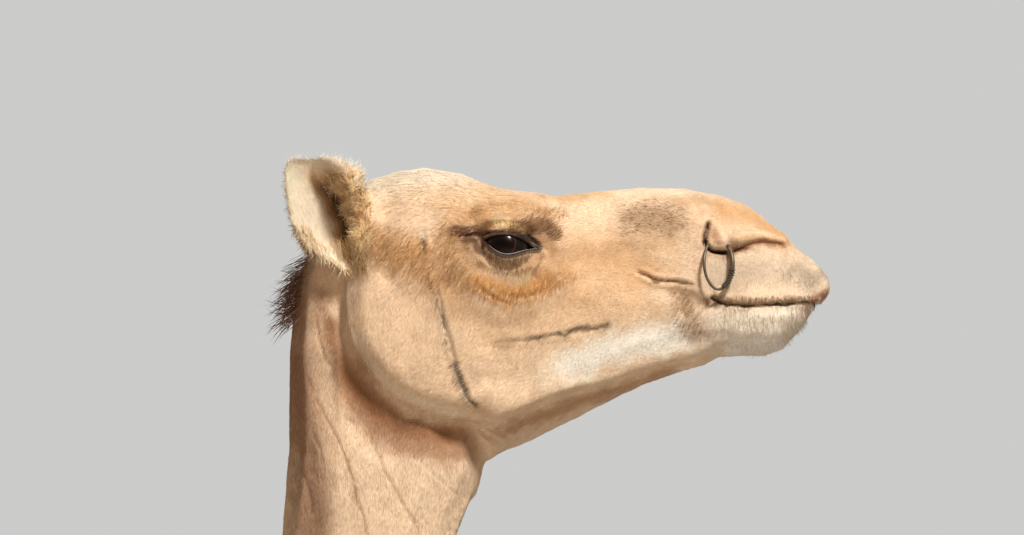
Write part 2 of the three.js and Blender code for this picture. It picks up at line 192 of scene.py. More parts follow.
class Line:
    """A smooth line in the head's side view."""

    def __init__(self, path: Path | Array) -> None:
        """Runs the line through a few points, in head millimetres."""
        knots = pairs(path)
        self.dots = curve(knots, 5) if len(knots) > 1 else np.repeat(knots, 2, axis=0)

    def near(self, spots: Array, reach: float) -> tuple[Array, Array, Array, Array]:
        """Finds the points near the line.

        Args:
            spots: points in the side view.
            reach: how far from the line still counts.

        Returns:
            Which points are near, and for those the distance, the share along, and the side (above is 1).
        """
        low, high = self.dots.min(0) - reach, self.dots.max(0) + reach
        chosen = np.flatnonzero(((spots >= low) & (spots <= high)).all(1))
        spot = spots[chosen]
        best = np.full(len(spot), np.inf)
        along = np.zeros(len(spot))
        side = np.ones(len(spot))
        legs = len(self.dots) - 1
        for i in range(legs):
            a, run = self.dots[i], self.dots[i + 1] - self.dots[i]
            square = max(float(run @ run), 1e-9)
            off = spot - a
            t = np.clip((off @ run) / square, 0.0, 1.0)
            gap = off - t[:, None] * run
            distance = np.hypot(gap[:, 0], gap[:, 1])
            closer = distance < best
            best = np.where(closer, distance, best)
            along = np.where(closer, (i + t) / legs, along)
            turn = run[0] * off[:, 1] - run[1] * off[:, 0]
            side = np.where(closer, np.where(turn >= 0, 1.0, -1.0), side)
        keep = best < reach
        return chosen[keep], best[keep], along[keep], side[keep]


def faded(along: Array, ends: float) -> Array:
    """Fades a line in and out over a share of its length at each end."""
    if ends <= 0:
        return np.ones_like(along)
    return ease(np.minimum(along, 1.0 - along) / ends)


# ---- shaping the skin


@dataclass(frozen=True)
class Fold:
    """A crease or ridge in the head's skin: its line, height, half-width and faded ends, in millimetres."""

    path: Path
    height: float
    width: float
    ends: float = 0.25
    shoulder: float = 0.0  # height of the swelling beside a crease

    def lift(self, spots: Array) -> tuple[Array, Array]:
        """The points it moves and how far, in millimetres.

        Args:
            spots: points in the side view, in head millimetres.

        Returns:
            Which points it moves, and how far.
        """
        chosen, away, along, _ = Line(self.path).near(spots, self.width * 4.5)
        share = away / self.width
        rise = self.height * np.exp(-(share**2)) + self.shoulder * np.exp(-(((share - 2.1) / 1.1) ** 2))
        return chosen, rise * faded(along, self.ends)


@dataclass(frozen=True)
class Step:
    """A line with the skin raised above it and sunk below it, in millimetres."""

    path: Path
    above: float
    below: float
    edge: float
    reach_above: float
    reach_below: float
    ends: float = 0.2

    def lift(self, spots: Array) -> tuple[Array, Array]:
        """The points it moves and how far, in millimetres.

        Args:
            spots: points in the side view, in head millimetres.

        Returns:
            Which points it moves, and how far.
        """
        reach = 3.0 * max(self.reach_above, self.reach_below)
        chosen, away, along, side = Line(self.path).near(spots, reach)
        signed = away * side
        share = ease(0.5 + signed / (2 * self.edge))
        up = share * self.above * np.exp(-((np.maximum(signed, 0) / self.reach_above) ** 2))
        down = (1 - share) * self.below * np.exp(-((np.maximum(-signed, 0) / self.reach_below) ** 2))
        return chosen, (up + down) * faded(along, self.ends)


def lifted(forms: Iterable[Fold | Step], spots: Array) -> Array:
    """How far forms together move points of the side view, in millimetres.

    Args:
        forms: creases, ridges and steps.
        spots: points in the side view, in head millimetres.

    Returns:
        The lift of each point.
    """
    lift = np.zeros(len(spots))
    for form in forms:
        chosen, rise = form.lift(spots)
        lift[chosen] += rise
    return lift


@dataclass(frozen=True)
class Swell:
    """A swelling, or a hollow where its height is negative, on both sides at a place in the row, in metres."""

    at: Spot
    radii: Spot
    height: float

    def lift(self, places: Places) -> Array:
        """How far it moves each point, in metres.

        Args:
            places: points in the row, in metres.

        Returns:
            The lift of each point.
        """
        total = np.zeros(len(places))
        for side in Side:
            off = (places - np.array(self.at) * [1, int(side), 1]) / np.array(self.radii)
            total += self.height * np.exp(-(off**2).sum(1))
        return total


EYE_SLIT_TOP: Path = (-24, 0.5, -18, 3.4, -9, 4.8, 1, 4.6, 11, 2.8, 20, -1.2, 33, -7.5)
EYE_SLIT_BOTTOM: Path = (33, -7.5, 24, -8.8, 14, -12.4, 4, -15.2, -6, -14.4, -16, -8.5, -24, 0.5)
MOUTH: Path = (221, -57, 229, -61, 242, -64, 261, -66, 280, -65, 299, -63.5, 319, -62, 334, -61.5, 345, -61.5)
NOSTRIL: Path = (220, 28, 217.5, 19, 215, 9, 216.5, 1, 222, -5.5, 232, -7.5, 243, -6.5)
WING_SLIT: Path = (241, -7, 252, -4.5, 263, 0, 276, 3.5, 292, 3.5, 309, 1)

CHEEK_EDGE: Path = (-174, -8, -178, -50, -174, -96, -157, -137, -122, -171, -76, -190, -31, -195)
JAW_EDGE: Path = (-31, -195, 14, -180, 57, -163, 101, -150, 145, -134, 188, -122, 215, -117)

NECK_CREASE: Path = (-222, -130, -209, -161, -196, -187, -185, -207, -170, -243, -160, -279, -146, -320, -120, -400)
FORE_CREASE: Path = (-148, -196, -134, -240, -116, -274, -100, -300, -78, -350, -66, -400)
TOP_CREASE: Path = (-206, -70, -205, -90, -201, -112, -192, -132, -182, -146)

BROAD_FORMS: tuple[Step | Fold, ...] = (
    Step(CHEEK_EDGE, 0.5, -7.0, 5, 40, 30, 0.15),
    Fold((-190, -110, -172, -170, -140, -210, -96, -228), -9.0, 34, 0.25),  # the hollow behind the jaw
    Step(JAW_EDGE, 4.0, -8.0, 5, 20, 13, 0.12),
    Step(MOUTH, 2.2, -2.6, 2.2, 9, 12, 0.05),
    Fold((-150, 30, -110, 32, -60, 26), -4.0, 22),  # the hollow of the temple
    Fold((-38, 24, -22, 33, 0, 36, 22, 35, 40, 27), 5.0, 10),  # the brow
    Fold((-60, -34, -20, -70, 20, -72, 60, -50), 2.0, 14),  # the rim of bone under the eye
    Fold((60, -12, 110, -22, 160, -18), -3.5, 20),  # the hollow before the eye
    Fold((80, -68, 130, -66, 180, -62), 2.5, 18),  # the ridge of the upper jaw
    Fold((178, -52, 180, -74, 196, -92), 4.0, 14),  # the swelling behind the mouth's corner
    Fold((244, 2, 252, 9, 267, 12.5, 285, 11.5, 299, 7, 310, 2), 5.0, 6.0, 0.12),  # the nostril's wing
    Fold((228, 16, 232, 4), 3.0, 7, 0.0),
    Fold((-222, -90, -214, -150, -200, -210, -186, -280, -170, -400), 2.6, 14),  # the neck's long muscles
    Fold((-196, -110, -180, -180, -160, -250, -130, -400), 1.8, 13),
    Fold((-140, -230, -118, -280, -86, -400), 1.8, 15),
    Fold((244, -56, 280, -55, 318, -54), 1.6, 7),  # the upper lip's edge
    Fold((250, -77, 285, -77, 318, -75), 1.8, 8),  # the lower lip's edge
    Fold((240, -97, 276, -99, 306, -91), 3.2, 9),  # the chin
)

FINE_FORMS: tuple[Fold, ...] = (
    Fold(NOSTRIL, -7.5, 2.3, 0.1),
    Fold(WING_SLIT, -4.0, 3.2, 0.12),
    Fold(MOUTH, -5.0, 2.0, 0.03, 0.4),
    Fold(  # the upper lid's fold
        (-52, 4.5, -40, 5, -28, 8, -12, 9.2, 4, 10.5, 16, 9.5, 26, 3, 33, -3),
        -2.0, 1.7, 0.15, 0.5,
    ),
    Fold((-34, 15, -20, 18, -4, 18.5, 12, 17), -0.8, 1.8, 0.3, 0.3),
    Fold((-40, 17, -26, 30, -4, 34, 18, 36, 38, 30), -1.2, 2.4, 0.3, 0.3),
    Fold((-31, -6, -16, -19, 0, -24, 16, -21, 30, -14), -0.5, 1.8, 0.25),  # under the lower lid
    Fold((-36, -42, -22, -56, -4, -65, 8, -68), -1.0, 2.0, 0.3, 0.5),
    Fold((-10, -57, 14, -60, 36, -55, 48, -46), -0.7, 2.2, 0.3, 0.3),
    Fold((34, -10, 37, -22, 31, -33, 29, -42), -1.0, 1.6, 0.2),
    Fold((136, -28, 147, -32, 158, -37, 170, -40, 190, -41, 207, -46), -2.4, 2.2, 0.2, 1.0),  # the lip's fold
    Fold((222, -46, 225, -58, 214, -72, 206, -88), -1.8, 2.6, 0.25, 0.8),
    Fold((196, -50, 190, -66, 197, -84), -1.4, 3.0, 0.3),
    Fold((232, -108, 252, -113, 276, -114), -1.6, 4.0, 0.3),
    # the neck's folds
    Fold(TOP_CREASE, -0.6, 1.7, 0.35, 0.1),
    Fold(NECK_CREASE, -0.7, 1.7, 0.2, 0.1),
    Fold((-216, -190, -208, -208, -200, -228, -196, -258), -0.5, 1.6, 0.35, 0.1),
    Fold(FORE_CREASE, -0.5, 1.7, 0.2, 0.1),
    Fold((-111, -222, -90, -240, -59, -266, -40, -276), -0.35, 1.9, 0.3, 0.1),
    Fold((-226, -230, -214, -270, -206, -320, -200, -400), -0.5, 2.0, 0.25, 0.1),
    Fold((-34, -196, -14, -206, 2, -214), -1.2, 2.6, 0.3, 0.8),
)
SCAR_FORMS: tuple[Fold, ...] = (
    Fold((-76, -46, -72, -64, -68, -86, -60, -112, -52, -144, -41, -168, -29, -181), -1.0, 1.8, 0.12, 0.4),
    Fold((-18, -110, 14, -106, 57, -99, 90, -93, 114, -87), -0.7, 2.2, 0.2, 0.3),
    Fold((-90, 14, -88, 1, -89, -16), -0.8, 1.8, 0.2, 0.3),
)


@dataclass(frozen=True)
class Mass:
    """A rounded mass joined into the head's flesh, ending at a line. Head millimetres."""

    at: Spot
    radii: Spot
    power: float = 2.0  # how square it is
    rim: Path = ()

    def join(self, shape: Shape, side: Side) -> None:
        """Adds it to a shape on one side.

        Args:
            shape: the bmesh it goes into.
            side: 1 for the left and -1 for the right.
        """
        verts = bmesh.ops.create_icosphere(shape, subdivisions=5, radius=1.0)["verts"]
        balls = unit(np.array([vert.co for vert in verts]))
        rise = (1 - np.minimum(1.0, np.hypot(balls[:, 0], balls[:, 2])) ** self.power) ** (1 / self.power)
        balls[:, 1] = np.copysign(rise, balls[:, 1])
        spots = np.array(self.at) + balls * self.radii
        if self.rim:
            line = Line(self.rim)
            chosen, away, along, way = line.near(spots[:, [0, 2]], 90.0)
            spots[chosen, 1] -= 9.0 * (1 - ease(np.where(way < 0, 0.0, away) / 26.0))
            beyond = way < 0
            for axis, dots in zip((0, 2), line.dots.T):
                spots[chosen[beyond], axis] = np.interp(along[beyond] * (len(dots) - 1), range(len(dots)), dots)
        for vert, (x, y, z) in zip(verts, spots):
            vert.co = head_point(x, side * y, z)


MASSES: tuple[Mass, ...] = (
    Mass((-89, 46, -91), (98, 37, 109), 3.0, CHEEK_EDGE),  # the chewing muscle of the cheek
    Mass((-60, 44, -162), (92, 33, 40), 2.0, CHEEK_EDGE),  # the angle of the jaw
    Mass((4, 38, -149), (80, 21, 30)),
    Mass((-42, 0, -234), (20, 21, 46)),  # the throat
    Mass((-12, 0, -200), (34, 18, 21)),
    Mass((-27, 0, -206), (27, 18, 27)),
)

BODY_FORMS: tuple[Swell, ...] = (
    Swell((-0.02, 0.235, 1.50), (0.10, 0.10, 0.20), 0.010),  # shoulder blade
    Swell((0.04, 0.20, 1.36), (0.07, 0.08, 0.07), 0.014),  # point of the shoulder
    Swell((-0.06, 0.22, 1.12), (0.05, 0.06, 0.07), 0.012),  # elbow
    Swell((-0.92, 0.17, 1.60), (0.09, 0.08, 0.06), 0.012),  # hip bone
    Swell((-1.08, 0.16, 1.56), (0.06, 0.06, 0.06), 0.010),  # seat bone
    Swell((-0.80, 0.20, 1.47), (0.10, 0.08, 0.10), -0.012),  # flank
    Swell((-0.18, 0.25, 1.55), (0.07, 0.08, 0.22), -0.008),  # behind the shoulder
    Swell((-1.02, 0.21, 1.33), (0.08, 0.06, 0.14), 0.008),  # ham
)


class Net:
    """Which vertices of a mesh are joined, for smoothing them."""

    def __init__(self, mesh: Mesh) -> None:
        """Reads the mesh's edges.

        Args:
            mesh: the mesh.
        """
        edges = np.empty(len(mesh.edges) * 2, np.int32)
        mesh.edges.foreach_get("vertices", edges)
        ends = edges.reshape(-1, 2)
        source = np.concatenate([ends[:, 0], ends[:, 1]])
        order = np.argsort(source, kind="stable")
        self.target = np.concatenate([ends[:, 1], ends[:, 0]])[order]
        self.degree = np.maximum(np.bincount(source, minlength=len(mesh.vertices)), 1)
        self.start = np.concatenate([[0], np.cumsum(self.degree)[:-1]])

    def pull(self, values: Array) -> Array:
        """How far each value is from the middle of its neighbours'."""
        sums = np.add.reduceat(values[self.target], self.start, axis=0)
        return sums / self.degree.reshape(-1, *[1] * (values.ndim - 1)) - values

    def relax(self, values: Array, times: int, share: Array | float = 0.5) -> Array:
        """Smooths values, and lets them shrink."""
        for _ in range(times):
            values = values + share * self.pull(values)
        return values

    def soften(self, values: Array, times: int, share: Array | float = 1.0) -> Array:
        """Smooths values without shrinking what they shape.

        Args:
            values: a value or a row of values for each vertex.
            times: how often.
            share: how far each step goes.

        Returns:
            The smoothed values.
        """
        for _ in range(times):
            values = values + 0.5 * share * self.pull(values)
            values = values - 0.52 * share * self.pull(values)
        return values


def places_of(mesh: Mesh) -> Places:
    """A mesh's vertices."""
    found = np.empty(len(mesh.vertices) * 3)
    mesh.vertices.foreach_get("co", found)
    return found.reshape(-1, 3)


def normals_of(mesh: Mesh) -> Array:
    """A mesh's vertex normals."""
    found = np.empty(len(mesh.vertices) * 3, np.float32)
    mesh.vertex_normals.foreach_get("vector", found)
    return found.reshape(-1, 3).astype(float)


def put_places(mesh: Mesh, places: Places) -> None:
    """Moves a mesh's vertices."""
    mesh.vertices.foreach_set("co", places.astype(np.float32).ravel())
    mesh.update()


def mesh_from(shape: Shape, name: str) -> Mesh:
    """Makes a mesh of a bmesh, and frees the bmesh.

    Args:
        shape: the bmesh, which is used up.
        name: the mesh's name.

    Returns:
        The mesh.
    """
    mesh = bpy.data.meshes.new(name)
    shape.to_mesh(mesh)
    shape.free()
    return mesh


def smooth_mesh(shape: Shape, name: str) -> Mesh:
    """Makes a smoothly shaded mesh of a bmesh, with its faces turned outward, and frees the bmesh.

    Args:
        shape: the bmesh, which is used up.
        name: the mesh's name.

    Returns:
        The mesh.
    """
    bmesh.ops.recalc_face_normals(shape, faces=shape.faces)
    mesh = mesh_from(shape, name)
    shaded_smooth(mesh)
    return mesh


def poured(shape: Shape, *meshes: Mesh) -> Shape:
    """Adds meshes to a bmesh, and removes them.

    Args:
        shape: the bmesh it goes into.
        *meshes: the meshes, which are used up.

    Returns:
        The bmesh.
    """
    for mesh in meshes:
        shape.from_mesh(mesh)
        bpy.data.meshes.remove(mesh)
    return shape


def object_from(mesh: Mesh, name: str) -> Thing:
    """Puts a mesh in the scene as an object at the origin."""
    thing = bpy.data.objects.new(name, mesh)
    bpy.context.scene.collection.objects.link(thing)
    return thing


def placed(mesh: Mesh, name: str, slot: str, material: Material, *replaced: str) -> Thing:
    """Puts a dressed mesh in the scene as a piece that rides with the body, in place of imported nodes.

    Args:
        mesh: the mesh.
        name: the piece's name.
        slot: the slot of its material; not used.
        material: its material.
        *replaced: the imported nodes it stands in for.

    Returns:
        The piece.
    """
    mesh.materials.append(material)
    piece = object_from(mesh, name)
    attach(piece, "root")
    if replaced:
        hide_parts(*replaced)
    return piece


def with_modifier(mesh: Mesh, kind: str, **settings: object) -> Mesh:
    """A mesh with one modifier applied.

    Args:
        mesh: the mesh, which is used up.
        kind: the modifier's type.
        **settings: the modifier's settings.

    Returns:
        The new mesh.
    """
    thing = object_from(mesh, "work")
    modifier = thing.modifiers.new("work", kind)
    for key, value in settings.items():
        setattr(modifier, key, value)
    bpy.context.view_layer.update()
    made = bpy.data.meshes.new_from_object(thing.evaluated_get(bpy.context.evaluated_depsgraph_get()))
    bpy.data.objects.remove(thing)
    bpy.data.meshes.remove(mesh)
    return made


def shaded_smooth(mesh: Mesh) -> None:
    """Shades a mesh smoothly."""
    mesh.polygons.foreach_set("use_smooth", np.ones(len(mesh.polygons), dtype=bool))
    mesh.update()


def write_values(mesh: Mesh, name: str, values: Array | Sequence[float]) -> None:
    """Writes a value for each vertex."""
    layer = mesh.attributes.new(name, "FLOAT", "POINT")
    layer.data.foreach_set("value", np.array(values, np.float32))


def write_colours(mesh: Mesh, name: str, colours: Array) -> None:
    """Writes a colour for each vertex."""
    layer = mesh.color_attributes.new(name, "FLOAT_COLOR", "POINT")
    full = np.concatenate([colours, np.ones((len(colours), 1))], axis=1)
    layer.data.foreach_set("color", full.astype(np.float32).ravel())


# ---- ears


@dataclass(frozen=True)
class EarLeaf:
    """An ear as a dish open to the side, with a deep slit behind its front wall. Head millimetres."""

    # each row's level, back and front edges, distance from the head's middle, depth, and how far forward the slit is
    rows: tuple[tuple[float, ...], ...] = (
        (-31, -178, -153, 62, 5, 0.72),
        (-24, -187, -153, 63, 9, 0.72),
        (-14, -203, -153, 64, 13, 0.72),
        (-4, -217, -154, 65, 16, 0.73),
        (8, -227, -154, 66, 18, 0.73),
        (24, -235, -152, 68, 20, 0.71),
        (46, -238.5, -152, 72, 22, 0.6),
        (64, -241, -155, 77, 20, 0.49),
        (76, -240.5, -161, 80, 15, 0.45),
        (84, -238, -171, 82, 11, 0.45),
        (89, -231, -184, 83, 7, 0.47),
        (91, -223, -196, 83.5, 3, 0.5),
    )
    # the side open to view, from the back edge to the front: the share of the way, then how far out in depths
    dish: tuple[tuple[float, float], ...] = (
        (0.0, 0.0),
        (0.05, -0.02),
        (0.2, -0.28),
        (0.42, -0.62),
        (0.56, -0.95),
        (0.62, -1.05),
        (0.68, -0.6),
        (0.76, 0.0),
        (0.86, 0.28),
        (0.95, 0.12),
        (1.0, -0.3),
    )
    around: int = 56

    def facing(self, share: Array, slit: Array) -> Array:
        """How far out the open side is, in depths, at shares of the way forward."""
        back = share * 0.62 / slit
        front = 0.62 + (share - slit) * 0.38 / (1 - slit)
        return np.interp(np.where(share < slit, back, front), *zip(*self.dish))

    def join(self, shape: Shape, side: Side) -> None:
        """Adds the ear to a shape as a closed solid.

        Args:
            shape: the bmesh it goes into.
            side: which side.
        """
        rows = curve(self.rows, 4)
        sheet = bmesh.new()
        bmesh.ops.create_grid(sheet, x_segments=self.around, y_segments=len(rows) - 1, size=1.0)
        for vert in sheet.verts:
            level, back, front, middle, depth, slit = rows[round((vert.co.y + 1) / 2 * (len(rows) - 1))]
            turn = (vert.co.x + 1) / 2
            share = 0.5 - 0.5 * math.cos(turn * math.tau)
            bulge = -0.3 * min(1.0, share / 0.04) - 0.95 * math.sqrt(max(0.0, 1 - (2 * share - 1) ** 2))
            out = float(self.facing(np.array([share]), np.array([slit]))[0]) if turn <= 0.5 else bulge
            vert.co = head_point(back + (front - back) * share, side * (middle + depth * out), level)
        bmesh.ops.remove_doubles(sheet, verts=sheet.verts, dist=1e-6)
        bmesh.ops.holes_fill(sheet, edges=[edge for edge in sheet.edges if edge.is_boundary], sides=0)
        bmesh.ops.triangulate(sheet, faces=sheet.faces)
        poured(shape, mesh_from(sheet, "ear"))

    def share_of(self, places: Places, side: Side) -> tuple[Array, Array, Array, Array]:
        """Where points lie in the ear.

        Args:
            places: points in the row, in metres.
            side: which ear.

        Returns:
            The level, the share of the way forward, how far out in depths, and the slit's share there.
        """
        spots = head_xz(places)
        levels, *sizes = zip(*self.rows)
        back, front, middle, depth, slit = (np.interp(spots[:, 1], levels, size) for size in sizes)
        share = (spots[:, 0] - back) / (front - back)
        return spots[:, 1], share, (side * places[:, 1] / MM - middle) / depth, slit


EAR = EarLeaf()


def ear_share(places: Places) -> Array:
    """How surely each point is on an ear, from 0 to 1.

    Args:
        places: points in the row, in metres.

    Returns:
        The share of each point.
    """
    found = np.zeros(len(places))
    for side in Side:
        level, share, out, _ = EAR.share_of(places, side)
        mine = (places[:, 1] * side > 0.04) & (abs(share - 0.46) < 0.6) & (out > -1.8)
        found = np.maximum(found, np.where(mine, ease((level + 36) / 10), 0.0))
    return found


# ---- eyes


@dataclass(frozen=True)
class EyeSize:
    """The eyeball in head millimetres: its middle, its radius, and how thick the lids lie on it."""

    x: float = -1.0
    y: float = 71.5
    z: float = -5.0
    radius: float = 25.0
    lid: float = 2.3

    def surface(self, spots: Array, swell: float = 0.0) -> Array:
        """How far out the ball's surface is over points in the side view."""
        radius = self.radius + swell
        off = (spots[:, 0] - self.x) ** 2 + (spots[:, 1] - self.z) ** 2
        return self.y + np.sqrt(np.maximum(radius**2 - off, 36.0))


EYE = EyeSize()


def near_eye(spots: Array, ahead: float, above: float) -> Array:
    """Which points of the side view are close to the eyes."""
    return (abs(spots[:, 0]) < ahead) & (abs(spots[:, 1]) < above)


def slit_distance(spots: Array) -> Array:
    """How far points of the side view are outside the eye's opening, and less than 0 inside it.

    Args:
        spots: points in the side view, in head millimetres.

    Returns:
        The distance of each point.
    """
    top, bottom = (curve(pairs(path), 5) for path in (EYE_SLIT_TOP, EYE_SLIT_BOTTOM))
    _, away, _, _ = Line(np.vstack([top, bottom])[::2]).near(spots, 1e9)
    upper = np.interp(spots[:, 0], top[:, 0], top[:, 1])
    lower = np.interp(spots[:, 0], bottom[::-1, 0], bottom[::-1, 1])
    wide = (spots[:, 0] > top[0, 0]) & (spots[:, 0] < top[-1, 0])
    inside = wide & (spots[:, 1] < upper) & (spots[:, 1] > lower)
    return np.where(inside, -away, away)


# ---- colours of skin and coat

SAND = (240, 207, 172)
CREAM = (248, 229, 205)
TAN = (214, 166, 114)
GOLD = (208, 156, 100)
UMBER = (104, 68, 42)
# near-black: painted shade deep in the nostril, and the colour of a small dark speck
SHADE_AND_SPECK_BLACK = (38, 28, 22)


@dataclass(frozen=True)
class Mark:
    """A soft mark on the head: its line, half-width, colour, strength and ragged edge. Head millimetres."""

    path: Path
    width: float
    colour: Colour
    strength: float = 1.0
    ragged: float = 0.35
    ends: float = 0.0
    core: float = 0.2

    def paint(self, colours: Array, spots: Array, wander: Array) -> None:
        """Lays the mark on the colours of points.

        Args:
            colours: the colours, which are changed.
            spots: points in the side view, in head millimetres.
            wander: how the mark's edge strays at each point.
        """
        reach = self.width * (1 + self.ragged)
        chosen, away, along, _ = Line(self.path).near(spots + self.ragged * wander[:, 1:], reach)
        share = away / (self.width * (1 + self.ragged * wander[chosen, 0]))
        cover = self.strength * ease((1 - share) / (1 - self.core)) * faded(along, self.ends)
        colours[chosen] += cover[:, None] * (linear(self.colour) - colours[chosen])


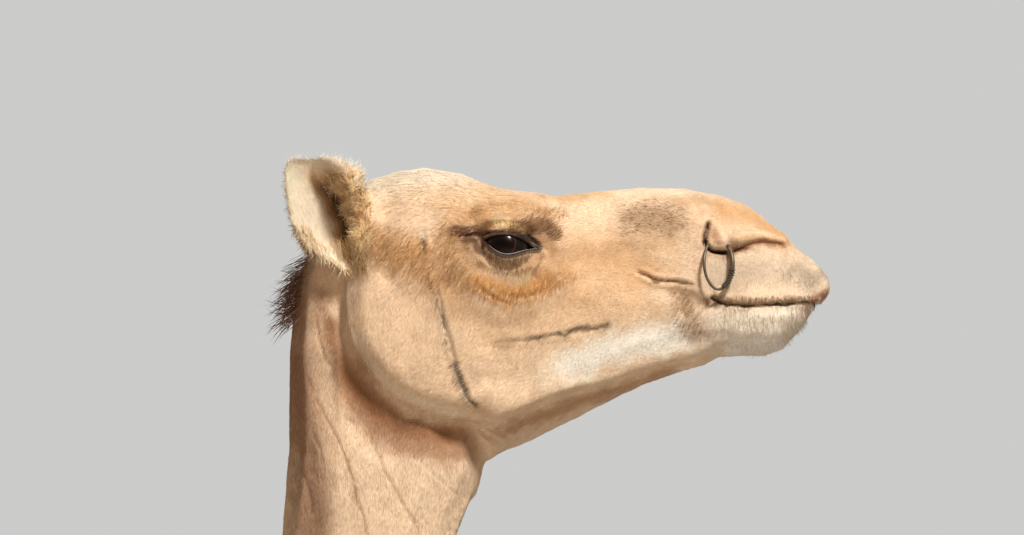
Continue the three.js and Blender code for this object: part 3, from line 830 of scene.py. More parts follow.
HEAD_MARKS: tuple[Mark, ...] = (
    Mark((-160, 66, -120, 84, -80, 84, -50, 78), 42, CREAM, 0.85),
    Mark((90, 64, 150, 68, 210, 64), 14, CREAM, 0.3),
    Mark((-170, 6, -146, 0, -120, -8, -96, -14), 34, GOLD, 0.7, 0.7, 0, 0),
    Mark((-70, 48, -30, 56, 16, 46), 26, (224, 180, 130), 0.5, 0.6, 0, 0),
    Mark((-104, -18, -80, -38, -52, -60), 34, (216, 168, 116), 0.55, 0.7, 0, 0),
    Mark((-50, 30, -62, 8, -46, -20), 24, (214, 166, 112), 0.55, 0.6, 0, 0),
    Mark((20, -40, 60, -22, 110, -14, 150, -22), 46, TAN, 0.6, 0.6, 0, 0),
    Mark((60, -60, 110, -52, 140, -44), 24, TAN, 0.4, 0.6),
    Mark((40, 56, 72, 58, 104, 62), 14, (222, 170, 108), 0.6, 0.6),
    Mark((-158, -60, -130, -90, -90, -110), 46, (244, 212, 178), 0.75),
    Mark((-20, -95, 40, -85, 100, -75, 150, -75), 34, (234, 198, 158), 0.5),
    Mark((26, -146, 70, -132, 120, -113, 200, -98), 34, (248, 228, 202), 0.75, 0.7, 0.1, 0.0),
    Mark((46, -140, 84, -126, 124, -110, 180, -100, 232, -98), 27, (255, 249, 236), 0.97, 0.6, 0.16, 0.1),
    Mark((190, 24, 250, 18, 310, 0), 60, (224, 188, 148), 0.4, 0.3, 0, 0),
    Mark((236, -30, 280, -26, 320, -32, 345, -42), 36, (222, 202, 178), 0.75),
    Mark((232, -92, 270, -92, 310, -86, 326, -78), 36, (240, 229, 212), 0.95),
    Mark((238, -106, 270, -108, 306, -98), 17, (255, 250, 242), 0.9, 0.5, 0.1),
    Mark((140, 30, 162, 32, 180, 28), 32, (156, 124, 94), 0.66, 0.8, 0, 0),
    Mark((134, 12, 158, 6, 178, 14), 28, (192, 154, 116), 0.5, 0.8, 0, 0),
    Mark((190, 50, 214, 50, 236, 43), 13, (190, 148, 110), 0.6, 0.9, 0, 0),
    Mark((236, 40, 262, 36, 284, 26, 304, 14), 24, (214, 166, 116), 0.85, 0.6, 0, 0),
    Mark((192, -50, 194, -66, 198, -82, 208, -94), 25, (150, 116, 80), 0.62, 0.8, 0, 0),
    # painted shade in the mouth's corner
    Mark((206, -56, 214, -61, 226, -61), 8, (120, 84, 56), 0.7, 0.8),
    # round the eye
    Mark((-44, 16, -26, 35, -2, 40, 22, 40, 44, 32), 17, (206, 156, 102), 0.6, 0.8, 0, 0),
    Mark((-30, 24, -4, 28, 20, 27), 12, (214, 168, 112), 0.5, 0.6),
    Mark((-30, -42, -10, -52, 14, -54, 36, -48), 17, (222, 156, 86), 0.6, 1.0, 0, 0),
    Mark((-36, -54, -22, -62, -4, -69, 10, -69), 8, (182, 120, 64), 0.5, 1.0, 0.2, 0.0),
    Mark((-20, -48, 6, -54, 24, -48), 8, (236, 184, 116), 0.5, 0.8),
    Mark((30, -34, 48, -38, 66, -34), 11, (206, 148, 88), 0.45, 1.0, 0, 0),
    Mark((-44, -4, -34, -14, -24, -24, -2, -29, 20, -27, 32, -18), 10, (164, 128, 92), 0.72, 0.7),
    Mark((-10, -35, -3, -37), 5, (120, 88, 60), 0.5, 0.8),
    Mark((4, -37, 14, -41, 24, -38), 7, (228, 206, 166), 0.75, 0.6),
    Mark((-33, 0, -29, -10, -19, -19), 5.5, (122, 92, 70), 0.8, 0.5, 0, 0),
    Mark((8, 12, 24, 13, 38, 15, 48, 10), 17, (106, 72, 42), 0.86, 0.9, 0, 0),
    Mark((34, 2, 46, -2, 50, -10), 12, (164, 120, 78), 0.6, 0.9, 0, 0),
    Mark((-56, 12, -38, 8, -24, 10), 12, (140, 96, 66), 0.66, 0.8, 0, 0),
    Mark((-42, 3, -34, -3, -29, -11), 7, (104, 76, 54), 0.9, 0.7),
    Mark((-30, 18, -14, 18, 4, 16, 18, 14), 9, (188, 142, 92), 0.7, 0.7),
    # painted highlight on the mound above the upper lid
    Mark((-9, 21, 2, 21), 6.5, (234, 216, 174), 0.95, 0.6),
    # dark skin of the lid's front, with painted shade in the upper lid's fold
    Mark((-54, 5, -42, 5, -30, 7, -12, 9.5, 4, 11), 2.2, (52, 38, 32), 0.9, 0.5, 0.06),
    Mark((2, 11, 14, 10, 26, 4, 36, -4, 38, -8), 4.6, (34, 24, 19), 0.92, 0.5, 0.06),
    # painted shade in the creases before and under the eye
    Mark((34, -10, 38, -21, 33, -31, 30, -42), 2.2, UMBER, 0.65, 0.9, 0.15, 0.0),
    Mark((-34, -44, -22, -56, -4, -65, 8, -68), 2.2, (150, 98, 54), 0.45, 1.0, 0.2),
    # nostril, lips and folds
    # painted shade round the nostril's groove
    Mark((219, 22, 217, 6, 224, -8, 240, -9), 9, (120, 76, 54), 0.6, 0.7, 0, 0),
    Mark((227, 16, 231, 4), 7, (190, 142, 112), 0.7, 0.4),
    # painted light on the top of the nostril's wing
    Mark((254, 8, 268, 11, 286, 11, 300, 7), 6.5, (246, 208, 166), 0.85, 0.3),
    # painted shade in the slit under the nostril's wing, and in the nostril's groove
    Mark(WING_SLIT, 6.5, (148, 94, 56), 0.8, 0.4, 0.1),
    Mark((242, -7, 254, -4, 266, 0), 2.8, (60, 38, 26), 0.8, 0.4, 0.3),
    Mark(NOSTRIL, 2.2, (62, 42, 32), 0.85, 0.6, 0.1),
    Mark((216, 10, 217, 1, 222, -6, 232, -8, 242, -7), 3.4, SHADE_AND_SPECK_BLACK, 0.95, 0.3, 0.1),
    # painted shadow of the nose ring's wire on the skin
    Mark((208, -4, 206, -24, 209, -42), 4, (166, 118, 80), 0.4, 0.5),
    Mark((228, -59, 260, -62, 300, -59, 332, -57), 6, (138, 106, 74), 0.7, 0.8, 0.05, 0.0),
    # painted shade in the gap between the lips
    Mark(MOUTH, 2.2, (44, 28, 20), 0.92, 0.6, 0.04),
    Mark((334, -58, 344, -52, 350, -48), 5.5, (162, 110, 72), 0.85, 0.4),
    Mark((310, -28, 322, -24, 332, -36), 14, (156, 138, 116), 0.55, 0.9, 0, 0),
    Mark((324, -34, 338, -32, 346, -27), 10, (178, 160, 138), 0.8, 0.7),
    Mark((322, -70, 330, -74), 8, (166, 126, 98), 0.6, 0.6),
    # painted shade along the lip's fold
    Mark((140, -29, 158, -37, 172, -40, 190, -41, 207, -46), 2.4, (104, 64, 38), 0.8, 0.9, 0.15),
    # browner hair under the jaw, with painted shade under the jaw's edge
    Mark((-24, -212, 20, -192, 60, -177, 110, -159, 160, -143, 196, -130), 12, (160, 112, 70), 0.62, 0.6, 0.12, 0.0),
    # the neck's creases with painted shade in them, and painted shade, shadow and light round the cheek and down the
    # neck
    Mark(NECK_CREASE, 2.4, (158, 110, 74), 0.7, 0.4, 0.1, 0.0),
    Mark(FORE_CREASE[:-2], 2.2, (168, 120, 82), 0.6, 0.4, 0.15, 0.0),
    Mark(TOP_CREASE[:-2], 2.2, (164, 118, 82), 0.6, 0.4, 0.2, 0.0),
    # painted shade down the back of the neck, on the side turned from the key lamp
    Mark((-234, -20, -230, -120, -218, -220, -204, -400), 44, (158, 116, 88), 0.78, 0.5, 0, 0),
    # painted light along the cheek's rim, where it turns from the key lamp
    Mark((-164, -84, -148, -128, -114, -160, -74, -178, -36, -184), 11, (255, 240, 214), 0.62, 0.6, 0.15, 0.0),
    # painted shadow cast by the cheek on the neck
    Mark((-190, -60, -188, -98, -172, -146, -136, -185, -88, -205, -36, -210), 17, (132, 84, 50), 0.72, 0.3, 0.15, 0.0),
    Mark(
        (-182, -100, -166, -150, -142, -186, -104, -208, -60, -216, -20, -210),
        32, (146, 95, 56), 0.72, 0.35, 0.16, 0.35,
    ),
    # painted shadow on the neck behind the cheek
    Mark((-208, -40, -198, -80, -190, -120), 18, (176, 126, 88), 0.55, 0.5, 0.2, 0.0),
)
SCAR_MARKS: tuple[Mark, ...] = (
    Mark(
        (-76, -48, -71, -64, -67, -85, -59, -112, -51, -144, -40, -168, -28, -181),
        7, (192, 164, 136), 0.7, 0.6, 0.05, 0.2,
    ),
    Mark((-79, -50, -73, -74, -69, -98, -61, -122), 2.3, (64, 56, 48), 0.8, 1.0, 0.1, 0.2),
    Mark((-57, -126, -50, -150, -42, -168, -30, -180), 5.6, (84, 76, 66), 0.85, 0.5, 0.1, 0.1),
    Mark((-88, -32, -81, -42, -76, -54), 2.0, (96, 70, 52), 0.7, 0.8, 0.2, 0.2),
    Mark((-20, -112, 14, -107, 57, -99, 90, -93, 116, -86), 8.5, (164, 136, 106), 0.65, 1.0, 0.1, 0.0),
    Mark((10, -107, 60, -98, 92, -92, 118, -86), 3.6, (76, 66, 56), 0.85, 1.0, 0.12, 0.0),
    Mark((-90, 8, -88, -2, -89, -16), 2.8, (52, 44, 38), 0.9, 0.8, 0.1, 0.2),
    Mark((-91, 14, -90, 5), 3.4, (206, 194, 174), 0.7, 0.4, 0.0, 0.2),
    Mark((105, -69), 2.0, SHADE_AND_SPECK_BLACK, 0.85, 0.2, 0.0, 0.2),
    Mark((119, 51), 1.8, UMBER, 0.7, 0.2, 0.0, 0.2),
)

FLOWS: tuple[tuple[float, float, float, float], ...] = (
    # place in the side view, then the way the hair lies there
    (350, -40, -0.6, -0.5),
    (330, 0, -1.0, 0.35),
    (300, -52, -0.35, -1.0),
    (250, -52, -0.35, -1.0),
    (250, -90, -0.35, -1.0),
    (300, -100, -0.35, -1.0),
    (250, 40, -1.0, 0.3),
    (150, 60, -1.0, 0.0),
    (150, 0, -1.0, -0.2),
    (160, -60, -1.0, -0.35),
    (120, -120, -0.8, -0.7),
    (60, -20, -1.0, -0.45),
    (40, 50, -1.0, 0.3),
    (10, -40, -0.35, -1.0),
    (30, -100, -0.7, -0.8),
    (-40, 50, -1.0, 0.25),
    (-110, 75, -1.0, -0.1),
    (-60, 5, -1.0, -0.3),
    (-100, -20, -0.55, -0.9),
    (-150, 5, -0.8, -0.6),
    (-80, -80, -0.4, -1.0),
    (-130, -110, -0.45, -1.0),
    (-60, -150, -0.7, -0.6),
    (-20, -190, -0.8, -0.5),
    (-190, -60, -0.2, -1.0),
    (-200, -200, 0.1, -1.0),
    (-120, -300, 0.15, -1.0),
    (-60, -260, -0.1, -1.0),
)


class Hide:
    """The colours of the animal and the lie of its coat, the same for the skin and for the hair on it."""

    def colours(self, places: Places, normals: Array) -> Array:
        """The coat's colour at points of the skin.

        Args:
            places: the points, in metres.
            normals: the skin's normals there.

        Returns:
            Linear red, green and blue for each point.
        """
        found = np.tile(linear(SAND), (len(places), 1))
        broad = grain(places, 0.16, 1)
        fine = 0.6 * grain(places, 0.009, 2) + 0.5 * grain(places, 0.0035, 3)
        self.blend(found, CREAM, 0.35 * ease(0.5 + broad))
        self.paint_body(found, places, normals)
        spots = head_xz(places)
        chosen = np.flatnonzero((places[:, 2] > 1.85) & (places[:, 0] > 0.55))
        shades, near, here = found[chosen], spots[chosen], places[chosen]
        drift = [4.0 * grain(here, 0.011, seed) + 2.4 * grain(here, 0.0042, seed + 2) for seed in (6, 7)]
        wander = np.stack([fine[chosen], *drift], axis=1)
        for mark in HEAD_MARKS:
            mark.paint(shades, near, wander)
        right = here[:, 1] <= 0
        scarred = shades[right]
        for mark in SCAR_MARKS:
            mark.paint(scarred, near[right], wander[right])
        shades[right] = scarred
        self.paint_eye(shades, near)
        found[chosen] = shades
        self.paint_ears(found, places, fine)
        mottle = 1 + 0.08 * grain(places, 0.02, 4) + 0.08 * grain(places, 0.007, 8) + 0.09 * fine
        return np.clip(found * mottle[:, None], 0.002, 1.0)

    @staticmethod
    def blend(found: Array, colour: Colour, cover: Array) -> None:
        """Lays one colour over the others."""
        found += cover[:, None] * (linear(colour) - found)

    def paint_body(self, found: Array, places: Places, normals: Array) -> None:
        """Colours the neck, trunk, legs, feet and tail.

        Args:
            found: the colours so far, which are changed.
            places: points in the row, in metres.
            normals: the skin's normals there.
        """
        x, y, z = places.T
        body = ease((1.9 - z) / 0.25)
        ragged = 0.5 + 0.5 * grain(places, 0.05, 5)
        self.blend(found, (226, 190, 146), 0.6 * body)
        hump = ease((z - 1.86) / 0.2 + 0.4 * ragged) * ease((0.1 - x) / 0.3)
        self.blend(found, (184, 138, 92), 0.75 * body * hump)
        under = ease((-normals[:, 2] - 0.1) / 0.6) * ease((x - 0.2) / 0.15)
        self.blend(found, (176, 128, 84), 0.55 * body * under)
        belly = ease((-normals[:, 2] - 0.2) / 0.5) * ease((0.1 - x) / 0.2) * ease((z - 0.9) / 0.2)
        self.blend(found, (240, 216, 184), 0.5 * belly)
        self.blend(found, (238, 210, 172), 0.6 * ease((1.0 - z) / 0.3))
        for spot, size, cover in (  # the calluses of the knees, stifles and elbows
            ((0.105, 0.155, 0.635), (0.06, 0.07, 0.055), 0.75),
            ((0.105, -0.155, 0.635), (0.06, 0.07, 0.055), 0.75),
            ((-0.93, 0.19, 1.235), (0.05, 0.05, 0.05), 0.6),
            ((-0.96, -0.19, 1.235), (0.05, 0.05, 0.05), 0.6),
            ((-0.09, 0.2, 1.09), (0.04, 0.05, 0.045), 0.6),
            ((-0.09, -0.2, 1.09), (0.04, 0.05, 0.045), 0.6),
        ):
            off = (places - np.array(spot)) / np.array(size)
            self.blend(found, (122, 98, 78), cover * np.exp(-(off**2).sum(1) * (1.2 - 0.5 * ragged)))
        self.blend(found, (120, 84, 56), 0.85 * ease((-1.17 - x) / 0.03) * ease((1.32 - z) / 0.15))
        self.blend(found, (120, 98, 80), 0.8 * ease((0.055 - z) / 0.03))
        nape = ease((0.70 - x) / 0.06) * ease((z - 1.98) / 0.15)
        nape = nape * ease((2.30 - z) / 0.05) * ease((0.045 - abs(y)) / 0.02)
        self.blend(found, (128, 82, 60), 0.8 * nape)

    def paint_eye(self, found: Array, spots: Array) -> None:
        """Colours the bare rims of the lids.

        Args:
            found: the colours so far, which are changed.
            spots: points in the side view, in head millimetres.
        """
        near = np.flatnonzero(near_eye(spots, 60, 45))
        x, z = spots[near].T
        away = slit_distance(spots[near])
        lower = ease((-4.0 - z + 0.12 * x) / 4)
        shades = found[near]
        fore = ease((x - 4) / 10)
        lid = np.where(lower > 0.5, 5.6, 6.4)
        tone = linear((104, 72, 60)) + fore[:, None] * (linear((44, 30, 24)) - linear((104, 72, 60)))
        tone = tone + lower[:, None] * (linear((60, 46, 36)) - tone)
        shades += (0.9 * ease((lid - away) / 1.6))[:, None] * (tone - shades)
        self.blend(shades, (26, 18, 14), 0.92 * ease((1.6 - away) / 1.0))
        pale = ease((3.9 - away) / 1.0) * ease((away - 1.2) / 0.8) * lower
        broken = ease(0.75 + 0.5 * grain(np.stack([x, z, 0 * away], axis=1), 6.0, 15))
        self.blend(shades, (122, 108, 96), 0.85 * (pale * broken))
        found[near] = shades

    def paint_ears(self, found: Array, places: Places, fine: Array) -> None:
        """Colours the ears: cream, golden towards the slit, with painted shade under the wool and in the slit.

        Args:
            found: the colours so far, which are changed.
            places: points in the row, in metres.
            fine: fine noise at each point.
        """
        for side in Side:
            near = np.flatnonzero((places[:, 1] * side > 0.035) & (places[:, 2] > 2.23) & (places[:, 0] < 0.76))
            level, share, out, slit = EAR.share_of(places[near], side)
            shades = found[near]
            on_ear = ear_share(places[near])
            inner = on_ear * ease((out + 1.15 - 0.3 * abs(share - slit)) / 0.1)
            wander = 0.03 * fine[near]
            self.blend(shades, (251, 236, 212), 0.95 * on_ear)
            golden = ease((86 - level) / 20) * inner * ease((share - slit + 0.24 + 2 * wander) / 0.2)
            self.blend(shades, (226, 182, 130), 0.85 * golden)
            low = ease((26 - level) / 40) * ease((share - 0.3) / 0.3)
            self.blend(shades, (232, 186, 130), 0.7 * inner * low)
            self.blend(shades, (228, 184, 134), 0.9 * on_ear * ease((share - 0.8) / 0.15))
            # painted shade on the skin under the wool, forward of the slit
            front = 0.8 * ease((80 - level) / 20) * inner * ease((share - slit - 0.02) / 0.1)
            self.blend(shades, (168, 120, 68), front)
            # painted shade in the slit: brown at its edge, near-black deep in it
            brown = np.exp(-(((share - slit + 0.07 + 2 * wander) / 0.12) ** 2))
            self.blend(shades, (156, 106, 58), 0.8 * ease((76 - level) / 24) * inner * brown)
            gap = np.exp(-(((share - slit - 0.03 + 2.2 * wander) / 0.125) ** 2))
            gap = gap * ease((74 - level) / 20) * ease((level + 2) / 8)
            self.blend(shades, (58, 40, 22), 0.97 * inner * gap)
            found[near] = shades

    def lie(self, places: Places, normals: Array) -> Array:
        """The way the coat lies.

        Args:
            places: points of the skin, in metres.
            normals: the skin's normals there.

        Returns:
            A direction along the skin for each point.
        """
        x, _, z = places.T
        spots = head_xz(places)
        total = np.zeros((len(places), 2))
        weight = np.zeros(len(places))
        for at_x, at_z, go_x, go_z in FLOWS:
            pull = 1.0 / (((spots[:, 0] - at_x) ** 2 + (spots[:, 1] - at_z) ** 2) / 900.0 + 0.05) ** 2
            total += pull[:, None] * np.array([go_x, go_z]) / math.hypot(go_x, go_z)
            weight += pull
        turned = np.stack([total[:, 0] / weight, np.zeros(len(places)), total[:, 1] / weight], axis=1)
        flow = np.tile(np.array([-0.75, 0.0, -0.65]), (len(places), 1))
        for share, way in (
            (ease((normals[:, 2] - 0.3) / 0.4), [-1.0, 0.0, 0.0]),  # the crest
            (ease((1.25 - z) / 0.25), [-0.12, 0.0, -1.0]),  # the legs
            (ease((x - 0.22) / 0.12) * ease((z - 1.2) / 0.1), [-0.45, 0.0, -0.9]),  # the neck
            (ease((-1.17 - x) / 0.03), [0.0, 0.0, -1.0]),  # the tail
            (ease((z - 1.9) / 0.12) * ease((x - 0.5) / 0.1), turned),  # the head
            (ear_share(places), [-0.35, 0.0, 0.6]),  # the ears
        ):
            flow = flow * (1 - share[:, None]) + share[:, None] * np.array(way)
        flow += 0.16 * np.stack([grain(places, 0.03, seed) for seed in (11, 12, 13)], axis=1)
        flow -= normals * (flow * normals).sum(1, keepdims=True)
        return unit(flow)


# ---- shader parts


class Nodes:
    """A short way to lay out a material's or a group's nodes."""

    def __init__(self, tree: Tree) -> None:
        """Takes the tree to lay nodes in."""
        self.tree = tree

    def add(self, kind: str, **settings: object) -> Node:
        """Adds a node and sets its properties.

        Args:
            kind: the node's type.
            **settings: its properties.

        Returns:
            The node.
        """
        node = self.tree.nodes.new(kind)
        for key, value in settings.items():
            setattr(node, key, value)
        return node

    def place(self) -> Socket:
        """The place on the object."""
        return self.add("ShaderNodeTexCoord").outputs["Object"]

    def layer(self, name: str, output: str = "Fac") -> Socket:
        """A layer of values or colours of the mesh."""
        return self.add("ShaderNodeAttribute", attribute_name=name).outputs[output]

    def give(self, node: Node, values: dict[str | int, object]) -> None:
        """Sets or links a node's inputs. A colour has three numbers.

        Args:
            node: the node.
            values: a value or another node's output for each input.
        """
        for key, value in values.items():
            socket = node.inputs[key]
            if isinstance(value, Socket):
                self.tree.links.new(value, socket)
            elif socket.type == "RGBA":
                socket.default_value = (*value, 1.0)
            else:
                socket.default_value = value

    def noise(self, place: Socket, scale: float, detail: float = 3.0) -> Socket:
        """Noise over a place, as a value."""
        node = self.add("ShaderNodeTexNoise")
        self.give(node, {"Vector": place, "Scale": scale, "Detail": detail, "Roughness": 0.55})
        return node.outputs["Fac"]

    def maths(self, how: str, *values: Socket | float, hold: bool = False) -> Socket:
        """One sum on two or three values."""
        node = self.add("ShaderNodeMath", operation=how, use_clamp=hold)
        self.give(node, dict(enumerate(values)))
        return node.outputs[0]

    def mix(self, share: Socket | float, a: object, b: object, how: str = "MIX") -> Socket:
        """Mixes two colours."""
        node = self.add("ShaderNodeMix", data_type="RGBA", blend_type=how)
        self.give(node, {0: share, 6: a, 7: b})
        return node.outputs[2]

    def grey(self, value: Socket) -> Socket:
        """A value as a grey colour."""
        node = self.add("ShaderNodeCombineColor")
        self.give(node, {0: value, 1: value, 2: value})
        return node.outputs[0]

    def bump(self, height: Socket, strength: float, depth: float) -> Socket:
        """A bumped normal from a height."""
        node = self.add("ShaderNodeBump")
        self.give(node, {"Height": height, "Strength": strength, "Distance": depth})
        return node.outputs["Normal"]


def new_material(name: str) -> tuple[Material, Nodes, Node]:
    """A material with its nodes and its Principled shader."""
    material = bpy.data.materials.new(name)
    material.use_nodes = True
    return material, Nodes(material.node_tree), material.node_tree.nodes["Principled BSDF"]


def streak_group() -> Tree:
    """The streaks of short flat hair: noise drawn out along the lie of the coat.

    Returns:
        The node group.
    """
    group = bpy.data.node_groups.new("Hair streaks", "ShaderNodeTree")
    for label, way, kind in (
        ("Place", "INPUT", "Vector"),
        ("Lie", "INPUT", "Color"),
        ("Fineness", "INPUT", "Float"),
        ("Streaks", "OUTPUT", "Float"),
    ):
        group.interface.new_socket(label, in_out=way, socket_type=f"NodeSocket{kind}")
    nodes = Nodes(group)
    entry = nodes.add("NodeGroupInput").outputs
    split = nodes.add("ShaderNodeSeparateColor")
    nodes.give(split, {0: entry["Lie"]})
    total: Socket | float = 0.0
    aims = ((0.0, (0.14, 1.0, 1.0)), (0.0, (1.0, 1.0, 0.14)), (0.82, (0.14, 1.0, 1.0)))  # level, upright and slanting
    for channel, (turn, stretch) in enumerate(aims):
        aim = nodes.add("ShaderNodeMapping")
        nodes.give(aim, {"Vector": entry["Place"], "Rotation": (0.0, turn, 0.0), "Scale": stretch})
        noise = nodes.add("ShaderNodeTexNoise")
        nodes.give(noise, {"Vector": aim.outputs[0], "Scale": entry["Fineness"], "Detail": 2.0})
        part = nodes.maths("MULTIPLY", noise.outputs["Fac"], split.outputs[channel])
        total = part if channel == 0 else nodes.maths("ADD", total, part)
    nodes.give(nodes.add("NodeGroupOutput"), {"Streaks": total})
    return group


@dataclass(frozen=True)
class HideFinish:
    """The skin under short hair: streaked, matt, and smoother where it is bare."""

    name: str = "hide"
    fineness: float = 1200.0

    def make(self, streaks: Tree) -> Material:
        """Makes the material.

        Args:
            streaks: the node group of the coat's streaks.

        Returns:
            The material.
        """
        material, nodes, shader = new_material(self.name)
        place, bare = nodes.place(), nodes.layer("bare")
        fine = nodes.add("ShaderNodeGroup", node_tree=streaks)
        nodes.give(fine, {"Place": place, "Lie": nodes.layer("lie", "Color"), "Fineness": self.fineness})
        streak = fine.outputs["Streaks"]
        tone = nodes.mix(bare, nodes.grey(nodes.maths("MULTIPLY_ADD", streak, 0.7, 0.58)), (0.92, 0.92, 0.92))
        height = nodes.maths("ADD", streak, nodes.maths("MULTIPLY", nodes.noise(place, 260.0), 0.5))
        nodes.give(shader, {
            "Base Color": nodes.mix(1.0, nodes.layer("coat", "Color"), tone, "MULTIPLY"),
            "Roughness": nodes.maths("MULTIPLY_ADD", bare, -0.28, 0.8),
            "Normal": nodes.bump(height, 0.4, 0.0006),
            "Specular IOR Level": 0.18,
        })
        return material


@dataclass(frozen=True)
class HairFinish:
    """Hair: the coat's colour, a little darker at the root, with a soft sheen."""

    name: str = "hair"
    roughness: float = 0.62

    def make(self) -> Material:
        """Makes the material.

        Returns:
            The material.
        """
        material, nodes, shader = new_material(self.name)
        flecks = nodes.noise(nodes.place(), 420.0, 2.0)
        tone = nodes.grey(nodes.maths("MULTIPLY_ADD", flecks, 0.4, 0.8))
        nodes.give(shader, {
            "Base Color": nodes.mix(1.0, nodes.layer("coat", "Color"), tone, "MULTIPLY"),
            "Roughness": self.roughness,
            "Specular IOR Level": 0.28,
            "Sheen Weight": 0.18,
            "Sheen Roughness": 0.5,
        })
        return material


# ---- skin


class Skin:
    """One skin over all the flesh: fine on the head and upper neck, coarser below."""

    head_nodes = ("head", "lower_jaw", "neck_upper", "neck_middle", "eye_right", "eye_left")
    head_swell = 0.0006
    body_swell = 0.0008
    head_voxel = 0.0024
    body_voxel = 0.0115
    head_triangles = 122_000
    body_triangles = 56_000
    coat_depth_head = 0.0022
    coat_depth_body = 0.005
    rib_spacing = 0.085
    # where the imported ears' roots are taken in: how far forward, then the half-width left there, in head millimetres
    ear_root = ((-230, 36), (-200, 40), (-186, 44), (-174, 54), (-160, 68), (-150, 80), (-140, 200))

    def __init__(self, nodes: dict[str, Thing], hide: Hide) -> None:
        """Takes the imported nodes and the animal's colours.

        Args:
            nodes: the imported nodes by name.
            hide: the colours and the lie of the coat.
        """
        self.nodes = nodes
        self.hide = hide
        other = ("eye_", "nail_", "breast_pad", "nose_ring", "ring_winding")
        self.flesh = sorted(name for name in nodes if not name.startswith(other))

    def build(self, streaks: Tree) -> Thing:
        """Builds the skin's object and dresses it.

        Args:
            streaks: the node group of the coat's streaks.

        Returns:
            The skin's object.
        """
        head = self.head_mesh()
        LOG.info("head skin: %d faces", len(head.polygons))
        body = self.body_mesh()
        LOG.info("body skin: %d faces", len(body.polygons))
        mesh = self.joined(head, body)
        shaded_smooth(mesh)
        self.dress(mesh)
        return placed(mesh, "skin", "coat", HideFinish().make(streaks), *self.flesh)

    def gathered(self, names: Iterable[str], swell: float) -> Shape:
        """Copies of nodes, merged and swollen so that the cuts between them close.

        Args:
            names: the nodes' names.
            swell: how far they swell, in metres.

        Returns:
            The copies, in one bmesh.
        """
        whole = bmesh.new()
        for name in names:
            piece = bmesh.new()
            piece.from_mesh(self.nodes[name].data)
            bmesh.ops.remove_doubles(piece, verts=piece.verts, dist=1e-5)
            bmesh.ops.recalc_face_normals(piece, faces=piece.faces)
            piece.normal_update()
            moved = [vert.co + vert.normal * swell for vert in piece.verts]
            if name == "head":
                for spot in moved:
                    limit = float(np.interp((spot.x - EYES_X) / MM, *zip(*self.ear_root))) * MM
                    if spot.z - LEVEL_Z > -0.05 and abs(spot.y) > limit:
                        spot.y = math.copysign(limit, spot.y)
            for vert, spot in zip(piece.verts, moved):
                vert.co = spot
            poured(whole, mesh_from(piece, name))
        return whole

    @staticmethod
    def clipped(mesh: Mesh, height: float, keep_above: bool) -> Mesh:
        """Cuts the neck off level and keeps one side of it.

        Args:
            mesh: the skin, which is used up.
            height: the height of the cut.
            keep_above: whether the part above it stays.

        Returns:
            The part that stays.
        """
        shape = poured(bmesh.new(), mesh)
        mine = {vert for vert in shape.verts if vert.co.x > NECK_X}
        geometry = list(mine) + [part for part in (*shape.edges, *shape.faces) if mine.issuperset(part.verts)]
        plane = {"plane_co": (0, 0, height), "plane_no": (0, 0, 1)}
        bmesh.ops.bisect_plane(shape, geom=geometry, clear_inner=keep_above, clear_outer=not keep_above, **plane)
        return mesh_from(shape, "clipped")

    @staticmethod
    def remeshed(shape: Shape, name: str, voxel: float) -> Mesh:
        """One closed skin over everything in a shape."""
        return with_modifier(mesh_from(shape, name), "REMESH", mode="VOXEL", voxel_size=voxel)

    @staticmethod
    def thinned(mesh: Mesh, triangles: int) -> Mesh:
        """The mesh with about so many triangles."""
        share = min(1.0, triangles / (2 * len(mesh.polygons)))
        return with_modifier(mesh, "DECIMATE", decimate_type="COLLAPSE", ratio=share)

    def head_mesh(self) -> Mesh:
        """The skin of the head, ears and upper neck.

        Returns:
            The head's skin.
        """
        shape = self.gathered(self.head_nodes, self.head_swell)
        for side in Side:
            EAR.join(shape, side)
            for mass in MASSES:
                mass.join(shape, side)
        bmesh.ops.recalc_face_normals(shape, faces=shape.faces)
        mesh = self.clipped(self.remeshed(shape, "head", self.head_voxel), NECK_SEAM_Z - 0.06, keep_above=True)
        net, places = Net(mesh), places_of(mesh)
        ears, spots = ear_share(places), head_xz(places)
        eye = np.hypot(*(spots - [0, -6]).T) < 36
        nose = np.abs(spots - [255, -12]).max(1) < 50
        jaw = np.abs((spots - [58, -150]) / [76, 30]).max(1) < 1
        nook = np.abs(spots - [-16, -236]).max(1) < 28
        calm = (eye | nose | jaw | nook) & (ears < 0.1)
        places = net.relax(places, 60, np.where(calm, 0.5 - 0.2 * jaw, 0.0)[:, None])
        places = net.soften(places, 130, (1 - 0.95 * ease(ears / 0.6))[:, None])
        put_places(mesh, places)
        places = places - normals_of(mesh) * self.coat_depth_head * (1 - 0.7 * ears[:, None])
        put_places(mesh, places)
        self.shape_broad(mesh, net)
        mesh = self.refined(mesh)
        self.shape_fine(mesh)
        return self.thinned(self.clipped(mesh, NECK_SEAM_Z + 0.004, keep_above=True), self.head_triangles)

